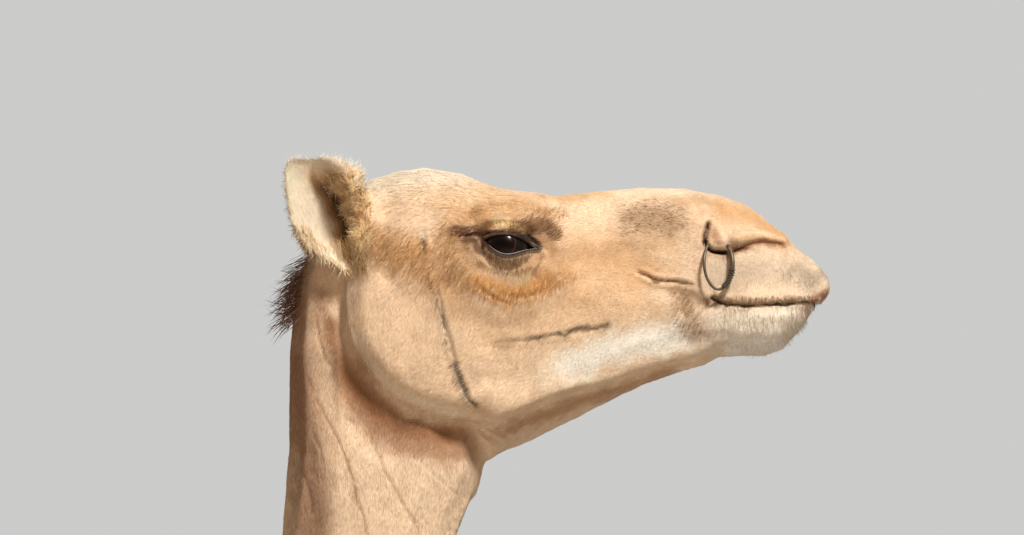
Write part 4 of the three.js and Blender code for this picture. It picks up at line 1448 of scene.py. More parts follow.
    @staticmethod
    def shape_broad(mesh: Mesh, net: Net) -> None:
        """Raises the broad forms of the head.

        Args:
            mesh: the mesh.
            net: which of its vertices are joined.
        """
        places, normals = places_of(mesh), normals_of(mesh)
        spots = head_xz(places)
        flank = ease((abs(normals[:, 1]) - 0.15) / 0.4)
        lift = net.relax(lifted(BROAD_FORMS, spots) * flank * (1 - ear_share(places)), 6)
        places += normals * lift[:, None] * MM
        under = ease((-normals[:, 2] - 0.4) / 0.4) * ease((spots[:, 0] + 40) / 30) * ease((700 - 3 * spots[:, 0]) / 60)
        brow = ease((normals[:, 2] - 0.3) / 0.4) * np.exp(-(((spots[:, 0] + 8) / 34) ** 2)) * (spots[:, 1] > 30)
        places[:, 2] -= net.relax(0.0042 * under + 0.0035 * brow, 6)
        throat = ease((normals[:, 0] - 0.1) / 0.5) * np.exp(-(((spots[:, 1] + 320) / 56) ** 2))
        places[:, 0] -= net.relax(0.0075 * throat, 6)
        front = ease((spots[:, 0] - 326) / 12) * ease((spots[:, 1] + 64) / 10) * ease((20 - spots[:, 1]) / 30)
        places[:, 0] -= 0.0035 * front * np.exp(-((places[:, 1] / 0.0035) ** 2))
        put_places(mesh, places)

    @staticmethod
    def refined(mesh: Mesh) -> Mesh:
        """Divides the faces round the eyes, the nostrils and the mouth.

        Args:
            mesh: the skin, which is used up.

        Returns:
            The finer skin.
        """
        shape = poured(bmesh.new(), mesh)
        for first in (True, False):
            spots = head_xz(np.array([vert.co for vert in shape.verts]))
            to_eye = slit_distance(spots)
            chosen = to_eye < 22 if first else abs(to_eye) < 3.5
            for path, reach in ((MOUTH, 7), (NOSTRIL, 8), (WING_SLIT, 6)) if first else ():
                chosen[Line(path).near(spots, reach)[0]] = True
            edges = [edge for edge in shape.edges if all(chosen[vert.index] for vert in edge.verts)]
            bmesh.ops.subdivide_edges(shape, edges=edges, cuts=1, use_grid_fill=True)
            shape.verts.index_update()
        return mesh_from(shape, "head")

    def shape_fine(self, mesh: Mesh) -> None:
        """Lays the lids on the eyeballs and cuts the small folds.

        Args:
            mesh: the mesh.
        """
        net, places = Net(mesh), places_of(mesh)
        spots = head_xz(places)
        near = np.flatnonzero(near_eye(spots, 62, 50))
        away = slit_distance(spots[near])
        ball = EYE.surface(spots[near], EYE.lid) * MM
        sides = np.sign(places[near, 1])
        out = abs(places[near, 1])
        hold = 1 - ease((away - 4.0) / 15.0)
        lid = out + hold * (ball - out)
        lid = np.maximum(lid, np.where(away > 0, ball, 0) * (away < 12))
        lid -= ease((0.4 - away) / 1.0) * 0.0065
        places[near, 1] = sides * lid
        put_places(mesh, places)
        normals, ears = normals_of(mesh), ear_share(places)
        lift, right = lifted(FINE_FORMS, spots), places[:, 1] <= 0
        lift[right] += lifted(SCAR_FORMS, spots[right])
        flank = np.maximum(ease((abs(normals[:, 1]) - 0.05) / 0.3), ease((spots[:, 0] - 318) / 12))
        lift *= flank * (1 - ears)
        open_eye = np.zeros(len(places))
        open_eye[near] = ease((1.5 - away) / 1.0)
        lift *= 1 - open_eye
        wrinkles = grain(places * [1.6, 1.0, 0.5], 0.012, 21) * ease((-170 - spots[:, 1]) / 60) * 0.5
        lift += (wrinkles + 0.3 * grain(places, 0.013, 22) + 0.15 * grain(places, 0.006, 23)) * (1 - ears)
        places += normals * lift[:, None] * MM
        share = np.where((open_eye < 0.05) & (ears < 0.05), 0.6, 0.0)[:, None]
        put_places(mesh, net.soften(places, 3, share))

    def body_mesh(self) -> Mesh:
        """The skin of the trunk, lower neck, legs and tail.

        Returns:
            The body's skin.
        """
        names = [name for name in self.flesh if not name.startswith(("ear_", "head", "lower_jaw"))]
        mesh = self.remeshed(self.gathered(names, self.body_swell), "body", self.body_voxel)
        net, places = Net(mesh), places_of(mesh)
        x, y, z = places.T
        slim = np.maximum(ease((1.28 - z) / 0.22), ease((-1.165 - x) / 0.03))
        places = net.soften(places, 170, (1 - 0.93 * slim)[:, None])
        places = net.soften(places, 24)
        put_places(mesh, places)
        normals = normals_of(mesh)
        lift = sum((form.lift(places) for form in BODY_FORMS), np.zeros(len(places)))
        ribs = np.sin((x * 0.9 + 0.25 * z) * 2 * math.pi / self.rib_spacing)
        ribs *= ease((0.42 - abs(x + 0.35)) / 0.2) * ease((0.16 - abs(z - 1.42)) / 0.14)
        lift += 0.0022 * ribs * ease((abs(normals[:, 1]) - 0.4) / 0.4)
        lift -= self.coat_depth_body * ease((z - 0.03) / 0.05)
        places += normals * lift[:, None]
        self.shape_feet(places)
        places[:, 2] = np.maximum(places[:, 2], 0.0)
        put_places(mesh, places)
        return self.thinned(self.clipped(mesh, NECK_SEAM_Z - 0.008, keep_above=False), self.body_triangles)

    def shape_feet(self, places: Places) -> None:
        """Parts the two toes in front and flattens the soles.

        Args:
            places: the skin's vertices, which are moved.
        """
        for name in self.flesh:
            if name.startswith("foot_"):
                low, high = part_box(name)
                off = places - np.array((low + high) / 2)
                groove = np.exp(-((off[:, 1] / 0.012) ** 2)) * ease((off[:, 0] - 0.01) / 0.05)
                groove *= ease((0.12 - places[:, 2]) / 0.05)
                places[:, 0] -= 0.02 * groove * (abs(off[:, 0]) < 0.2)
        places[places[:, 2] < 0.012, 2] = 0.0

    @staticmethod
    def joined(head: Mesh, body: Mesh) -> Mesh:
        """Bridges the head's skin to the body's round the neck.

        Args:
            head: the head's skin, which is used up.
            body: the body's skin, which is used up.

        Returns:
            The whole skin.
        """
        shape = poured(bmesh.new(), head, body)
        bmesh.ops.bridge_loops(shape, edges=[edge for edge in shape.edges if edge.is_boundary])
        left = [edge for edge in shape.edges if edge.is_boundary]
        if left:
            bmesh.ops.holes_fill(shape, edges=left, sides=0)
        bmesh.ops.triangulate(shape, faces=shape.faces)
        bmesh.ops.recalc_face_normals(shape, faces=shape.faces)
        band = [vert for vert in shape.verts if abs(vert.co.z - NECK_SEAM_Z) < 0.05 and vert.co.x > 0.5]
        for _ in range(12):
            bmesh.ops.smooth_vert(shape, verts=band, factor=0.5, use_axis_x=True, use_axis_y=True, use_axis_z=False)
        return mesh_from(shape, "skin")

    def dress(self, mesh: Mesh) -> None:
        """Writes the skin's colours, the lie of its hair, and where it is bare.

        Args:
            mesh: the mesh.
        """
        places, normals = places_of(mesh), normals_of(mesh)
        write_colours(mesh, "coat", self.hide.colours(places, normals))
        lie = abs(self.hide.lie(places, normals))
        flat, tall = lie[:, 0] ** 2, lie[:, 2] ** 2
        slant = np.minimum(flat, tall) * 2
        shares = np.stack([flat - slant / 2, tall - slant / 2, slant], axis=1)
        shares /= np.maximum(shares.sum(1, keepdims=True), 1e-6)
        write_colours(mesh, "lie", shares)
        spots = head_xz(places)
        bare = np.zeros(len(places))
        near = np.flatnonzero(near_eye(spots, 50, 40) & (places[:, 2] > 2))
        bare[near] = ease((4.6 - slit_distance(spots[near])) / 1.5)
        for path, reach in ((NOSTRIL, 6), (MOUTH, 4)):
            chosen, away, _, _ = Line(path).near(spots, reach)
            bare[chosen] = np.maximum(bare[chosen], ease((reach - away) / (reach / 2)) * (places[chosen, 2] > 2))
        write_values(mesh, "bare", np.maximum(bare, ease((0.03 - places[:, 2]) / 0.02)))


# ---- coat


@dataclass(frozen=True)
class Roots:
    """Where tufts grow from: places, normals, lies, colours and places on an unwrap of the skin."""

    places: Places
    normals: Array
    lies: Array
    colours: Array
    unwrap: Array

    @staticmethod
    def joined(parts: Sequence[Roots]) -> Roots:
        """Several sets of roots as one."""
        return Roots(*(np.concatenate([getattr(part, field.name) for part in parts]) for field in fields(Roots)))

    def picked(self, chosen: Array) -> Roots:
        """Some of the roots."""
        return Roots(*(getattr(self, field.name)[chosen] for field in fields(self)))


@dataclass(frozen=True)
class Tuft:
    """The build of a tuft: lengths in metres, and how it stands and curls as shares of its length."""

    length: float
    width: float
    lift: float = 0.22
    droop: float = 0.1
    curl: float = 0.15
    flat: float = 0.5
    rings: int = 1
    spread: float = 0.3  # how much lengths differ
    stray: float = 0.12  # how far directions differ
    blend: float = 0.8  # how far its shading follows the skin's
    tint: float = 0.08  # how much shades differ
    thin: float = 0.0  # how far short ones are thinner too


class Coat:
    """Tufts of hair, joined into a few pieces that ride with the skin."""

    patch = 0.003  # the size of a tuft's patch on the unwrap

    def __init__(self, skin: Thing, hide: Hide, seed: int = 7) -> None:
        """Takes the finished skin.

        Args:
            skin: the skin's object.
            hide: the colours and the lie of the coat.
            seed: which coat it is.
        """
        self.skin = skin
        self.hide = hide
        self.rng = np.random.default_rng(seed)
        self.finish = HairFinish().make()
        mesh = skin.data
        mesh.calc_loop_triangles()
        corners = np.empty(len(mesh.loop_triangles) * 3, np.int32)
        mesh.loop_triangles.foreach_get("vertices", corners)
        self.corners = corners.reshape(-1, 3)
        self.places = places_of(mesh)
        self.normals = normals_of(mesh)
        a, b, c = (self.places[self.corners[:, i]] for i in range(3))
        self.areas = np.linalg.norm(np.cross(b - a, c - a), axis=1) / 2
        self.middles = (a + b + c) / 3
        self.faces_out = self.normals[self.corners].mean(1)
        self.total = 0

    def unwrapped(self, faces: Array) -> Array:
        """Unwraps some of the skin's triangles by their own shape.

        Args:
            faces: the triangles' numbers.

        Returns:
            Three places on the unwrap for each of those triangles.
        """
        used, inverse = np.unique(self.corners[faces], return_inverse=True)
        mesh = bpy.data.meshes.new("unwrap")
        mesh.from_pydata(self.places[used].tolist(), [], inverse.reshape(-1, 3).tolist())
        thing = object_from(mesh, "unwrap")
        bpy.ops.object.select_all(action="DESELECT")
        thing.select_set(True)
        bpy.context.view_layer.objects.active = thing
        bpy.ops.object.mode_set(mode="EDIT")
        bpy.ops.mesh.select_all(action="SELECT")
        bpy.ops.uv.smart_project(angle_limit=math.radians(70), island_margin=0.004)
        bpy.ops.object.mode_set(mode="OBJECT")
        found = np.empty(len(mesh.loops) * 2, np.float32)
        mesh.uv_layers.active.uv.foreach_get("vector", found)
        bpy.data.objects.remove(thing)
        bpy.data.meshes.remove(mesh)
        return found.reshape(-1, 3, 2).astype(float)

    def sown(self, density: Array, count: int) -> Roots:
        """Sows roots over the skin.

        Args:
            density: how thickly they stand on each triangle.
            count: how many there are.

        Returns:
            The roots.
        """
        faces = np.flatnonzero(density > 0)
        weights = np.cumsum(self.areas[faces] * density[faces])
        marks = (np.arange(count) + self.rng.random(count)) / count * weights[-1]
        picked = np.minimum(np.searchsorted(weights, marks), len(faces) - 1)
        unwrap = self.unwrapped(faces)
        r1, r2 = np.sqrt(self.rng.random(count)), self.rng.random(count)
        shares = np.stack([1 - r1, r1 * (1 - r2), r1 * r2], axis=1)[:, :, None]
        corners = self.corners[faces[picked]]
        places = (self.places[corners] * shares).sum(1)
        normals = unit((self.normals[corners] * shares).sum(1))
        colours = self.hide.colours(places + self.rng.normal(size=places.shape) * 0.0011, normals)
        return Roots(places, normals, self.hide.lie(places, normals), colours, (unwrap[picked] * shares).sum(1))

    def grow(self, name: str, roots: Roots, tuft: Tuft, lengths: Array | float = 1.0) -> Thing:
        """Grows tufts from roots and joins them into one piece.

        Args:
            name: the piece's name.
            roots: where they grow from.
            tuft: their build.
            lengths: a factor on the length of each.

        Returns:
            The piece.
        """
        count, rng = len(roots.places), self.rng
        long = tuft.length * (1 + tuft.spread * (rng.random(count) * 2 - 1)) * lengths
        rise = tuft.lift * (0.7 + 0.6 * rng.random(count))
        across = unit(np.cross(roots.normals, roots.lies))
        sway = rng.normal(size=count) * tuft.stray
        ahead = unit(roots.lies + across * sway[:, None])
        across = unit(np.cross(roots.normals, ahead))
        bend = rng.normal(size=count) * tuft.curl
        wide = tuft.width * (0.75 + 0.5 * rng.random(count))
        wide = wide * np.minimum(lengths, 1.0) ** tuft.thin
        start = roots.places - roots.normals * (tuft.width * 0.5)

        def point(t: float) -> Places:
            """The middle of each tuft at a share of its length."""
            along = ahead * (long * t)[:, None] + across * (long * bend * t * t)[:, None]
            return start + along + roots.normals * (long * (rise * t - tuft.droop * t * t) + tuft.width * 0.5)[:, None]

        per = 3 * tuft.rings + 1
        verts = np.empty((count, per, 3))
        for ring in range(tuft.rings):
            t = ring / tuft.rings
            thick = wide * (1.0 - 0.35 * t if ring else 0.85)
            middle = point(t)
            for k, (side, up) in enumerate(((-0.5, -0.3), (0.5, -0.3), (0.0, 0.6))):
                lifted_by = roots.normals * (thick * up * tuft.flat)[:, None]
                verts[:, 3 * ring + k] = middle + across * (thick * side)[:, None] + lifted_by
        verts[:, -1] = point(1.0)
        faces = [(2, 1, 0)]
        for ring in range(tuft.rings - 1):
            base = 3 * ring
            for k in range(3):
                a, b = base + k, base + (k + 1) % 3
                faces += [(a, b, b + 3), (a, b + 3, a + 3)]
        base = 3 * (tuft.rings - 1)
        faces += [(base + k, base + (k + 1) % 3, per - 1) for k in range(3)]
        mesh = self.mesh_of(name, verts, np.array(faces))
        own = normals_of(mesh).reshape(count, per, 3)
        shading = tuft.blend * roots.normals[:, None, :] + (1 - tuft.blend) * own
        mesh.normals_split_custom_set_from_vertices(unit(shading.reshape(-1, 3)).tolist())
        tint = 1 + tuft.tint * rng.normal(size=count)[:, None] * [0.8, 1.1, 1.4]
        levels = np.array([0.94 + 0.08 * ring / tuft.rings for ring in range(tuft.rings) for _ in range(3)] + [1.04])
        colours = np.clip(roots.colours * tint, 0.002, 1)[:, None, :] * levels[None, :, None]
        write_colours(mesh, "coat", np.clip(colours, 0, 1).reshape(-1, 3))
        spots = [(k - 1, ring / tuft.rings - 0.5) for ring in range(tuft.rings) for k in range(3)] + [(0, 0.5)]
        unwrap = roots.unwrap[:, None, :] + self.patch * np.array(spots)[None] * [0.5, 1.0]
        layer = mesh.uv_layers.new(name="OFBake")
        loops = np.empty(len(mesh.loops), np.int32)
        mesh.loops.foreach_get("vertex_index", loops)
        layer.uv.foreach_set("vector", np.clip(unwrap.reshape(-1, 2)[loops], 0, 1).astype(np.float32).ravel())
        self.total += len(mesh.polygons)
        LOG.info("%s: %d tufts, %d triangles", name, count, len(mesh.polygons))
        return placed(mesh, name, "coat", self.finish)

    @staticmethod
    def mesh_of(name: str, verts: Array, faces: Array) -> Mesh:
        """One mesh of many like tufts.

        Args:
            name: the mesh's name.
            verts: each tuft's vertices.
            faces: one tuft's triangles.

        Returns:
            The mesh.
        """
        count, per, _ = verts.shape
        every = (faces[None] + np.arange(count)[:, None, None] * per).reshape(-1)
        mesh = bpy.data.meshes.new(name)
        mesh.vertices.add(count * per)
        mesh.vertices.foreach_set("co", verts.astype(np.float32).ravel())
        mesh.loops.add(len(every))
        mesh.loops.foreach_set("vertex_index", every.astype(np.int32))
        mesh.polygons.add(len(every) // 3)
        mesh.polygons.foreach_set("loop_start", np.arange(0, len(every), 3, dtype=np.int32))
        mesh.update(calc_edges=True)
        shaded_smooth(mesh)
        return mesh

    def keep_clear(self) -> Array:
        """A factor of 0 where no tuft stands: the eyes, the nostrils, the mouth, the soles.

        Returns:
            The factor for each triangle of the skin.
        """
        spots = head_xz(self.middles)
        clear = np.ones(len(self.middles))
        head = self.middles[:, 2] > 2.0
        near = np.flatnonzero(head & near_eye(spots, 50, 40))
        clear[near] *= ease((slit_distance(spots[near]) - 4.2) / 2.0)
        for path, wide in ((NOSTRIL, 3.2), (MOUTH, 2.2)):
            chosen, away, _, _ = Line(path).near(spots, wide + 2)
            clear[chosen] *= np.where(head[chosen], ease((away - wide) / 1.5), 1.0)
        return clear * ease((self.middles[:, 2] - 0.03) / 0.02)


# ---- studio


@dataclass(frozen=True)
class Studio:
    """The camera, the lights and the floor."""

    distance: float = 4.0
    aim: Spot = (0.9002, 0.0, 2.2481)
    look_up: float = math.radians(6.0)
    lens: float = 127.84

    def build(self) -> None:
        """Builds the studio."""
        camera = bpy.data.cameras.new("camera")
        camera.lens = self.lens
        camera.sensor_width = 36.0
        camera.sensor_fit = "HORIZONTAL"
        camera.clip_end = 60.0
        stand = bpy.data.objects.new("camera", camera)
        ahead = Vector((0, math.cos(self.look_up), math.sin(self.look_up)))
        stand.location = Vector(self.aim) - ahead * self.distance
        stand.rotation_euler = (math.pi / 2 + self.look_up, 0, 0)
        bpy.context.scene.collection.objects.link(stand)
        bpy.context.scene.camera = stand
        self.lamp("key", (2.85, -3.15, 6.5), (0.86, 0.0, 2.15), 0.9, 424.0, (1.0, 0.955, 0.89))
        self.lamp("fill", (-1.6, -4.6, 2.9), (0.6, 0.0, 1.9), 3.0, 15.0, (1.0, 0.88, 0.76))
        self.lamp("bounce", (1.3, -2.8, 1.05), (0.85, 0.0, 2.1), 2.0, 14.0, (1.0, 0.66, 0.4))
        self.lamp("back", (-1.8, 3.6, 4.6), (0.6, 0.0, 2.0), 2.2, 75.0, (1.0, 0.98, 0.95))
        world = bpy.data.worlds.new("studio")
        world.use_nodes = True
        nodes = Nodes(world.node_tree)
        sky = world.node_tree.nodes["Background"]
        nodes.give(sky, {"Color": (1.0, 0.81, 0.65), "Strength": 0.155})
        wall = nodes.add("ShaderNodeBackground")
        nodes.give(wall, {"Color": (0.6, 0.6, 0.59)})
        seen = nodes.add("ShaderNodeMixShader")
        ray = nodes.add("ShaderNodeLightPath").outputs["Is Camera Ray"]
        nodes.give(seen, {0: ray, 1: sky.outputs[0], 2: wall.outputs[0]})
        nodes.give(world.node_tree.nodes["World Output"], {"Surface": seen.outputs[0]})
        bpy.context.scene.world = world
        bpy.context.scene.view_settings.view_transform = "Standard"
        self.floor()

    @staticmethod
    def lamp(name: str, at: Spot, to: Spot, size: float, power: float, colour: Spot) -> None:
        """A round soft light aimed at a point.

        Args:
            name: its name.
            at: where it is.
            to: what it is aimed at.
            size: its width in metres.
            power: its power in watts.
            colour: its colour.
        """
        light = bpy.data.lights.new(name, "AREA")
        light.shape = "DISK"
        light.size = size
        light.energy = power
        light.color = colour
        lamp = bpy.data.objects.new(name, light)
        lamp.location = at
        lamp.rotation_euler = (Vector(to) - Vector(at)).to_track_quat("-Z", "Y").to_euler()
        lamp.visible_glossy = name == "key"  # the eyes show one light
        bpy.context.scene.collection.objects.link(lamp)

    @staticmethod
    def floor() -> None:
        """A plain pale floor."""
        shape = bmesh.new()
        bmesh.ops.create_grid(shape, x_segments=1, y_segments=1, size=60.0)
        mesh = mesh_from(shape, "floor")
        material, nodes, shader = new_material("floor")
        nodes.give(shader, {"Base Color": (0.52, 0.51, 0.49), "Roughness": 0.85})
        mesh.materials.append(material)
        floor = object_from(mesh, "floor")


# ---- eyes, nails, pad and ring


class Eye:
    """An eyeball with its iris, and the moist rims of its lids."""

    iris = 14.6  # millimetres across half the iris
    pupil = (9.5, 4.2)

    def build(self, side: Side) -> None:
        """Builds one eyeball.

        Args:
            side: which side.
        """
        shape = bmesh.new()
        bmesh.ops.create_uvsphere(shape, u_segments=64, v_segments=48, radius=EYE.radius * MM)
        gaze = Vector((-0.17, side, 0.06)).normalized()
        turn = gaze.to_track_quat("Z", "X").to_matrix().to_4x4()
        bulge = math.cos(math.asin(self.iris / EYE.radius))
        for vert in shape.verts:
            height = vert.co.normalized().z
            if height > bulge:
                share = (height - bulge) / (1 - bulge)
                vert.co *= 1 + 0.05 * share * (2 - share)
        bmesh.ops.transform(shape, matrix=turn, verts=shape.verts)
        polar, spread = [], []
        for vert in shape.verts:
            off = vert.co.normalized()
            polar.append(math.acos(max(-1.0, min(1.0, off.dot(gaze)))) * EYE.radius)
            flat = off - gaze * off.dot(gaze)
            spread.append((flat.x / self.pupil[0] * EYE.radius) ** 2 + (flat.z / self.pupil[1] * EYE.radius) ** 2)
        bmesh.ops.translate(shape, vec=head_point(EYE.x, side * EYE.y, EYE.z), verts=shape.verts)
        mesh = smooth_mesh(shape, f"eyeball_{side.word}")
        write_values(mesh, "polar", polar)
        write_values(mesh, "pupil", spread)
        placed(mesh, f"eyeball_{side.word}", "eye", self.finish(), f"eye_{side.word}")

    def finish(self) -> Material:
        """Dark brown iris, darker pupil and a brown rim of white.

        Returns:
            The material.
        """
        found = bpy.data.materials.get("eyeball")
        if found:
            return found
        material, nodes, shader = new_material("eyeball")
        polar = nodes.layer("polar")
        iris = nodes.mix(nodes.noise(nodes.place(), 900.0), (0.004, 0.0012, 0.0008), (0.016, 0.005, 0.003))
        dark = nodes.maths("SUBTRACT", 1.25, nodes.layer("pupil"), hold=True)
        off = nodes.maths("ABSOLUTE", nodes.maths("SUBTRACT", polar, self.iris))
        rim = nodes.maths("SUBTRACT", 1.0, off, hold=True)
        white = nodes.maths("SUBTRACT", polar, self.iris + 0.4, hold=True)
        outer = nodes.mix(white, nodes.mix(dark, iris, (0.0015, 0.001, 0.001)), (0.012, 0.008, 0.006))
        nodes.give(shader, {
            "Base Color": nodes.mix(nodes.maths("MULTIPLY", rim, 0.7), outer, (0.075, 0.045, 0.034)),
            "Roughness": 0.24,
            "IOR": 1.38,
        })
        return material

    def rims(self, side: Side) -> None:
        """The moist margins of both lids, lying on the ball.

        Args:
            side: which side.
        """
        whole = bmesh.new()
        for path, thick in ((EYE_SLIT_TOP, 0.55), (EYE_SLIT_BOTTOM, 0.6)):
            line = curve(pairs(path), 6)
            shares = np.linspace(0, 1, len(line))
            out = EYE.surface(line, 1.0)
            points = np.stack([line[:, 0] * MM + EYES_X, side * out * MM, line[:, 1] * MM + LEVEL_Z], axis=1)
            widths = thick * MM * (0.35 + 0.65 * np.sin(np.pi * shares) ** 0.5)
            tube(whole, points, widths, 8)
        name = f"lid_rims_{side.word}"
        material, nodes, shader = new_material(name)
        place = nodes.place()
        blotches = nodes.noise(place, 260.0)
        split = nodes.add("ShaderNodeSeparateXYZ")
        nodes.give(split, {0: place})
        below = nodes.maths("SUBTRACT", LEVEL_Z - 0.004, split.outputs["Z"])
        low = nodes.maths("MULTIPLY", below, 260.0, hold=True)
        dark = nodes.mix(blotches, (0.006, 0.004, 0.003), (0.022, 0.014, 0.011))
        pale = nodes.mix(blotches, (0.16, 0.135, 0.12), (0.42, 0.37, 0.34))
        nodes.give(shader, {
            "Base Color": nodes.mix(low, dark, pale),
            "Normal": nodes.bump(blotches, 0.3, 0.0004),
            "Roughness": 0.4,
            "Specular IOR Level": 0.35,
        })
        placed(smooth_mesh(whole, name), name, "eye", material)


def tube(shape: Shape, points: Places, radii: Array, around: int, closed: bool = False) -> None:
    """Adds a round tube along points.

    Args:
        shape: the bmesh it goes into.
        points: the tube's middle line.
        radii: its radius at each point.
        around: the facets round it.
        closed: whether its end meets its start.
    """
    rings = []
    count = len(points)
    up = Vector((0, 1, 0))
    for i in range(count):
        before = points[(i - 1) % count if closed else max(i - 1, 0)]
        after = points[(i + 1) % count if closed else min(i + 1, count - 1)]
        along = Vector(after - before).normalized()
        aside = along.cross(up).normalized()
        frame = Matrix((aside, up - along * up.dot(along), along)).transposed().to_4x4()
        matrix = Matrix.Translation(Vector(points[i])) @ frame
        verts = bmesh.ops.create_circle(shape, segments=around, radius=float(radii[i]), matrix=matrix)["verts"]
        rings.append([shape.edges.get((verts[k], verts[(k + 1) % around])) for k in range(around)])
    for first, second in zip(rings, rings[1:] + (rings[:1] if closed else [])):
        bmesh.ops.bridge_loops(shape, edges=first + second)
    for ring in () if closed else (rings[0], rings[-1]):
        bmesh.ops.contextual_create(shape, geom=ring)


@dataclass(frozen=True)
class NoseRing:
    """A loop of thick wire, bent to hang from the nostril, with a cord wound round its joint. Head millimetres."""

    wire: float = 1.6
    half_width: float = 15.5
    half_height: float = 28.5
    x: float = 229.5
    drop: float = 21
    outer: float = 55
    lean: float = 15

    def point(self, turn: float) -> Vector:
        """The wire's middle at a share of its turn.

        Args:
            turn: the share of the turn, from the top.

        Returns:
            The place in the row.
        """
        rise, across = math.cos(turn * math.tau), math.sin(turn * math.tau)
        inward = self.lean * max(0.0, rise + 0.15) ** 2
        narrow = 1.0 - 0.12 * max(0.0, -rise) ** 3
        x = self.x + across * self.half_width * narrow
        return head_point(x, inward - self.outer, rise * self.half_height - self.drop)

    def build(self) -> None:
        """Builds the ring and its winding."""
        turns = np.arange(72) / 72
        points = np.array([self.point(t) for t in turns])
        right = np.array([max(0.0, math.sin(t * math.tau)) for t in turns])
        radii = (self.wire + 0.85 * right + 0.15 * grain(points, 0.006, 31)) * MM
        shape = bmesh.new()
        tube(shape, points, radii, 12, closed=True)
        placed(smooth_mesh(shape, "nose_ring_wire"), "nose_ring_wire", "ring", self.metal(), "nose_ring")
        self.wind(steps=150, loops=9)

    def wind(self, steps: int, loops: int) -> None:
        """Winds the cord round the wire in so many steps and loops.

        Args:
            steps: how many points its line has.
            loops: how many times it goes round.
        """
        wound, line = bmesh.new(), []
        for k in range(steps):
            share = k / (steps - 1)
            turn = 0.285 + 0.15 * share
            along = (self.point(turn + 0.003) - self.point(turn - 0.003)).normalized()
            out = (Vector((0, 1, 0)) - along * along.y).normalized()
            across = along.cross(out)
            angle = share * loops * math.tau
            wide = 3.0 + 0.35 * math.sin(share * 9.0)
            line.append(self.point(turn) + (out * math.cos(angle) + across * math.sin(angle)) * wide * MM)
        tube(wound, np.array(line), np.full(steps, 0.75 * MM), 6)
        placed(smooth_mesh(wound, "ring_cord"), "ring_cord", "winding", self.cord(), "ring_winding")

    @staticmethod
    def metal() -> Material:
        """Dull weathered wire with grime.

        Returns:
            The material.
        """
        material, nodes, shader = new_material("weathered wire")
        place = nodes.place()
        grime = nodes.noise(place, 320.0, 4.0)
        height = nodes.maths("ADD", grime, nodes.noise(place, 1400.0, 2.0))
        nodes.give(shader, {
            "Base Color": nodes.mix(grime, (0.05, 0.036, 0.024), (0.24, 0.195, 0.14)),
            "Metallic": nodes.maths("SUBTRACT", 1.0, grime, hold=True),
            "Roughness": nodes.maths("MULTIPLY_ADD", grime, 0.3, 0.34),
            "Normal": nodes.bump(height, 0.35, 0.0003),
        })
        return material

    @staticmethod
    def cord() -> Material:
        """Grubby olive-brown cord.

        Returns:
            The material.
        """
        material, nodes, shader = new_material("grubby cord")
        place = nodes.place()
        strands = nodes.noise(place, 1500.0)
        pale = nodes.mix(strands, (0.06, 0.048, 0.032), (0.22, 0.185, 0.13))
        nodes.give(shader, {
            "Base Color": nodes.mix(nodes.noise(place, 240.0, 2.0), pale, (0.05, 0.04, 0.03)),
            "Normal": nodes.bump(strands, 0.6, 0.0004),
            "Roughness": 0.85,
        })
        return material


class Nails:
    """Eight blunt nails, one over each toe."""

    def build(self, nodes: Iterable[str]) -> None:
        """Builds a nail in place of each node that names one.

        Args:
            nodes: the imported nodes' names.
        """
        material = self.horn()
        for name in sorted(n for n in nodes if n.startswith("nail_")):
            low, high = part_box(name)
            half = (high - low) / 2
            middle = low + Vector((0.62 * half.x, half.y, 0.86 * half.z))
            shape = bmesh.new()
            bmesh.ops.create_uvsphere(shape, u_segments=28, v_segments=18, radius=1.0)
            for vert in shape.verts:
                spot = vert.co.copy()
                fore = max(0.0, spot.x)
                spot.z = max(spot.z * (0.95 - 0.45 * fore) - 0.3 * fore, 0.35 * spot.z - 0.5)
                spot.y *= 1.0 - 0.3 * fore**2
                spot.x *= 1.0 - 0.15 * fore
                ridge = 0.012 * math.sin(spot.x * 26.0) * max(0.0, spot.z)
                vert.co = middle + Vector((spot.x * half.x, spot.y * half.y, (spot.z + ridge) * half.z))
            placed(smooth_mesh(shape, f"{name}_horn"), f"{name}_horn", "nail", material, name)

    @staticmethod
    def horn() -> Material:
        """Dark horn with growth bands and worn pale edges.

        Returns:
            The material.
        """
        material, nodes, shader = new_material("horn")
        place = nodes.place()
        aim = nodes.add("ShaderNodeMapping")
        nodes.give(aim, {"Vector": place, "Scale": (5.0, 0.6, 0.6)})
        bands = nodes.noise(aim.outputs[0], 60.0)
        worn = nodes.maths("MULTIPLY", nodes.noise(place, 500.0), 0.4)
        tone = nodes.mix(bands, (0.035, 0.025, 0.018), (0.16, 0.12, 0.085))
        nodes.give(shader, {
            "Base Color": nodes.mix(worn, tone, (0.26, 0.21, 0.16)),
            "Normal": nodes.bump(bands, 0.5, 0.0008),
            "Roughness": 0.5,
        })
        return material


